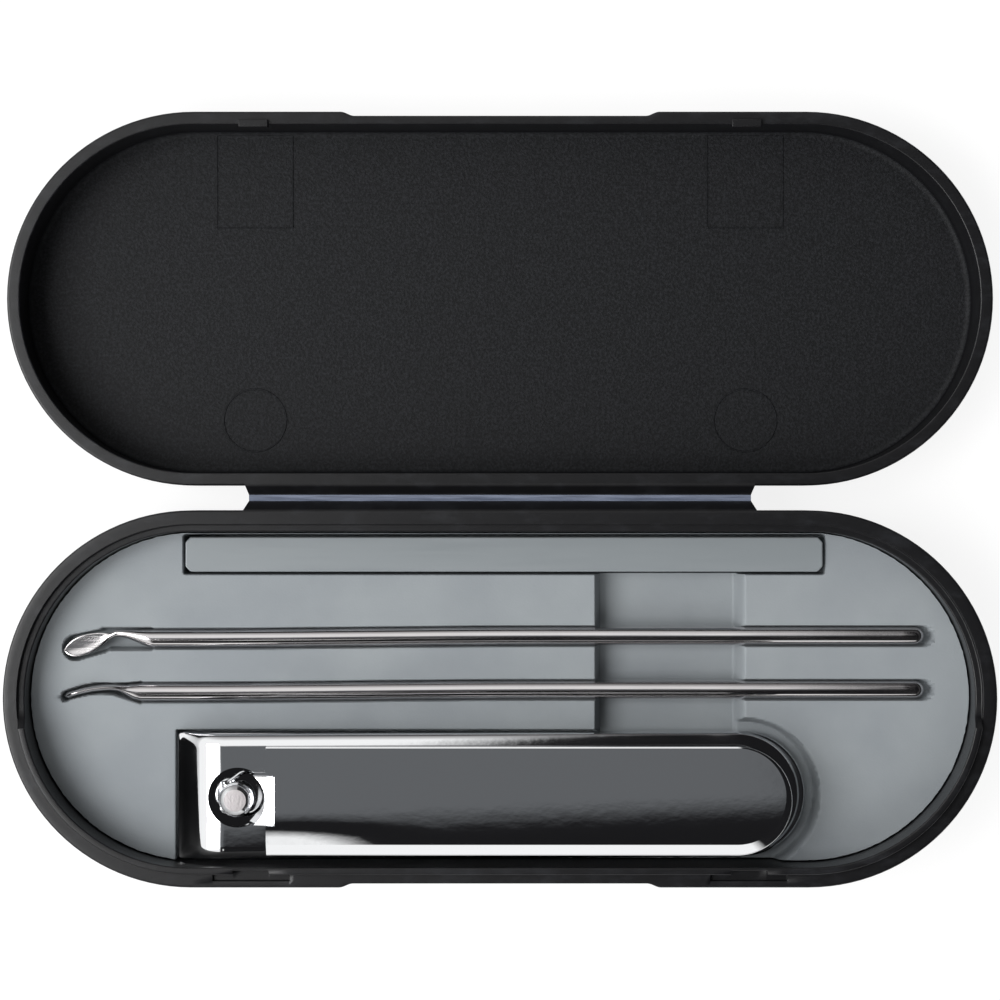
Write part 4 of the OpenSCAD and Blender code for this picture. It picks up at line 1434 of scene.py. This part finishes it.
class MANICURE_OT_stage(bpy.types.Operator):
    """Sets the paper sweep, the light tent and the camera straight above the open case"""

    bl_idname = "manicure.stage"
    bl_label = "Stage"

    def execute(self, context):
        scene = context.scene

        def place(name, data, spot):
            made = bpy.data.objects.new(name, data)
            made.location = spot
            scene.collection.objects.link(made)
            return made

        mesh = bpy.data.meshes.new("paper_sweep")
        reach = 2.0
        corners = [(reach * x, reach * y, 0) for x, y in ((-1, -1), (1, -1), (1, 1), (-1, 1))]
        mesh.from_pydata(corners, [], [(0, 1, 2, 3)])
        mesh.materials.append(light_tent_floor())
        # The paper lies a hair below the case's feet
        place("paper_sweep", mesh, (0, 0, -0.00005))
        light_tent(scene)
        # Name, place, width and power, and whether the metal mirrors it
        for name, spot, size, power, mirrored in (
                ("left softbox", (-0.24, -0.03, 0.34), 0.24, 1.65, True),
                ("front softbox", (-0.06, -0.22, 0.17), 0.2, 0.26, False)):
            data = bpy.data.lights.new(name, "AREA")
            data.shape, data.size, data.energy = "SQUARE", size, power
            lamp = place(name, data, spot)
            lamp.visible_glossy = mirrored
            aim = Vector((0, -0.01, 0)) - Vector(spot)
            lamp.rotation_euler = aim.to_track_quat("-Z", "Y").to_euler()
        # The camera's height over the rims, and the width that it sees there
        rim, distance, seen = 0.010, 0.300, 0.09643
        data = bpy.data.cameras.new("overhead camera")
        data.sensor_width = 36.0
        data.lens = data.sensor_width * distance / seen
        data.clip_start = 0.01
        scene.camera = place("overhead camera", data, (0.0, -0.0002, rim + distance))
        scene.view_settings.view_transform = "Standard"
        return {"FINISHED"}


# The light tent's pieces, as bands of a ray's direction across, along or up. Each band goes from
# where a piece starts to where it is full
CLOTH_ACROSS, CLOTH_UP = (0.085, 0.125), (0.16, 0.3)
PORT_ACROSS, PORT_REAR, PORT_FRONT = (-0.24, -0.18), (0.18, 0.1), (-0.33, -0.25)
MIRRORED_PORT_FRONT = (-0.87, -0.81)
SLIP_ACROSS = (-0.032, -0.055), (-0.09, -0.08)
SLIP_ALONG = (-0.27, -0.37), (-0.5, -0.42)
CARD_LEAN, CARD_ALONG = -0.25, (-0.15, -0.105)
DUSK_ALONG, HORIZON_UP = (0.62, 0.97), (0.05, 0.3)

# Their light
PORT_BLACK = (0.012, 0.012, 0.013, 1.0)
CARD_GREY = (0.143, 0.149, 0.156, 1.0)
TENT_WHITE = (1.15, 1.15, 1.14, 1.0)
DUSK_GREY = (0.3, 0.29, 0.29, 1.0)
HORIZON_GREY = (0.12, 0.12, 0.125, 1.0)
BACKDROP_WHITE = (1.0, 1.0, 1.0, 1.0)


def light_tent(scene):
    """A white tent whose right side is black cloth, with a dark port overhead that the camera looks
    through, a grey card beside it, a white slip before it and dusk behind. All are placed by the
    direction that they lie in."""
    world = bpy.data.worlds.new("light tent")
    world.use_nodes = True
    tree = world.node_tree
    way = add(tree, "ShaderNodeTexCoord").outputs["Generated"]
    across, along, up = add(tree, "ShaderNodeSeparateXYZ", {"Vector": way}).outputs
    rays = add(tree, "ShaderNodeLightPath").outputs

    def inside(value, *bands, full=1.0):
        """How much of what is full lies inside all the bands."""
        for start, whole in bands:
            full = add(tree, "ShaderNodeMapRange", {
                "Value": value, "From Min": start, "From Max": whole, "To Max": full})
        return full

    def outside(piece, full=1.0):
        return inside(piece, (1.0, 0.0), full=full)

    def either(a, b):
        return add(tree, "ShaderNodeMath", {0: a, 1: b}, operation="MAXIMUM")

    def cover(share, behind, piece):
        mixed = add(tree, "ShaderNodeMix", {0: share, 6: behind, 7: piece}, data_type="RGBA")
        return mixed.outputs[2]

    mirrored = rays["Is Glossy Ray"]
    cloth = inside(across, CLOTH_ACROSS, full=inside(up, CLOTH_UP))
    # In the metal's reflections the dark port reaches down to the front, past a white slip
    port = either(inside(along, MIRRORED_PORT_FRONT, full=mirrored), inside(along, PORT_FRONT))
    port = outside(inside(across, *SLIP_ACROSS, full=inside(along, *SLIP_ALONG)), full=port)
    port = inside(across, PORT_ACROSS, full=port)
    port = inside(either(cloth, inside(along, PORT_REAR)), (0.0, 1.0), full=port)
    leaning = add(tree, "ShaderNodeMath", {0: across, 1: CARD_LEAN, 2: along},
                  operation="MULTIPLY_ADD")
    dark = cover(outside(cloth, full=inside(leaning, CARD_ALONG)), PORT_BLACK, CARD_GREY)
    tent = cover(inside(along, DUSK_ALONG, full=mirrored), TENT_WHITE, DUSK_GREY)
    tent = cover(inside(up, HORIZON_UP), HORIZON_GREY, cover(port, tent, dark))
    tent = cover(rays["Is Camera Ray"], tent, BACKDROP_WHITE)
    tree.links.new(tent, tree.nodes["Background"].inputs["Color"])
    tree.nodes["Background"].inputs["Strength"].default_value = 1.0
    scene.world = world


OPERATORS = (MANICURE_OT_base, MANICURE_OT_lid, MANICURE_OT_witness, MANICURE_OT_hinge,
             MANICURE_OT_insert, MANICURE_OT_file, MANICURE_OT_pick, MANICURE_OT_pusher,
             MANICURE_OT_jaws, MANICURE_OT_pin, MANICURE_OT_lever, MANICURE_OT_stage)


class MANICURE_PT_panel(bpy.types.Panel):
    """Sizes, finishes and pieces of the manicure case"""

    bl_idname = "MANICURE_PT_panel"
    bl_label = "Manicure case"
    bl_space_type = "VIEW_3D"
    bl_region_type = "UI"
    bl_category = "Manicure case"

    def draw(self, context):
        for group in (sizes(), tools(), finishes()):
            box = self.layout.box()
            for name in group.__annotations__:
                box.prop(group, name)
        for operator in OPERATORS:
            self.layout.operator(operator.bl_idname)


GROUPS = {"manicure_case_sizes": ManicureCaseSizes, "manicure_case_tools": ManicureCaseTools,
          "manicure_case_finishes": ManicureCaseFinishes}


def register():
    for made in (*GROUPS.values(), *OPERATORS, MANICURE_PT_panel):
        bpy.utils.register_class(made)
    for name, group in GROUPS.items():
        setattr(bpy.types.Scene, name, bpy.props.PointerProperty(type=group))


def unregister():
    for name in GROUPS:
        delattr(bpy.types.Scene, name)
    for made in reversed((*GROUPS.values(), *OPERATORS, MANICURE_PT_panel)):
        bpy.utils.unregister_class(made)


def main():
    register()
    for operator in OPERATORS:
        group, name = operator.bl_idname.split(".")
        getattr(getattr(bpy.ops, group), name)()


if __name__ == "__main__":
    main()
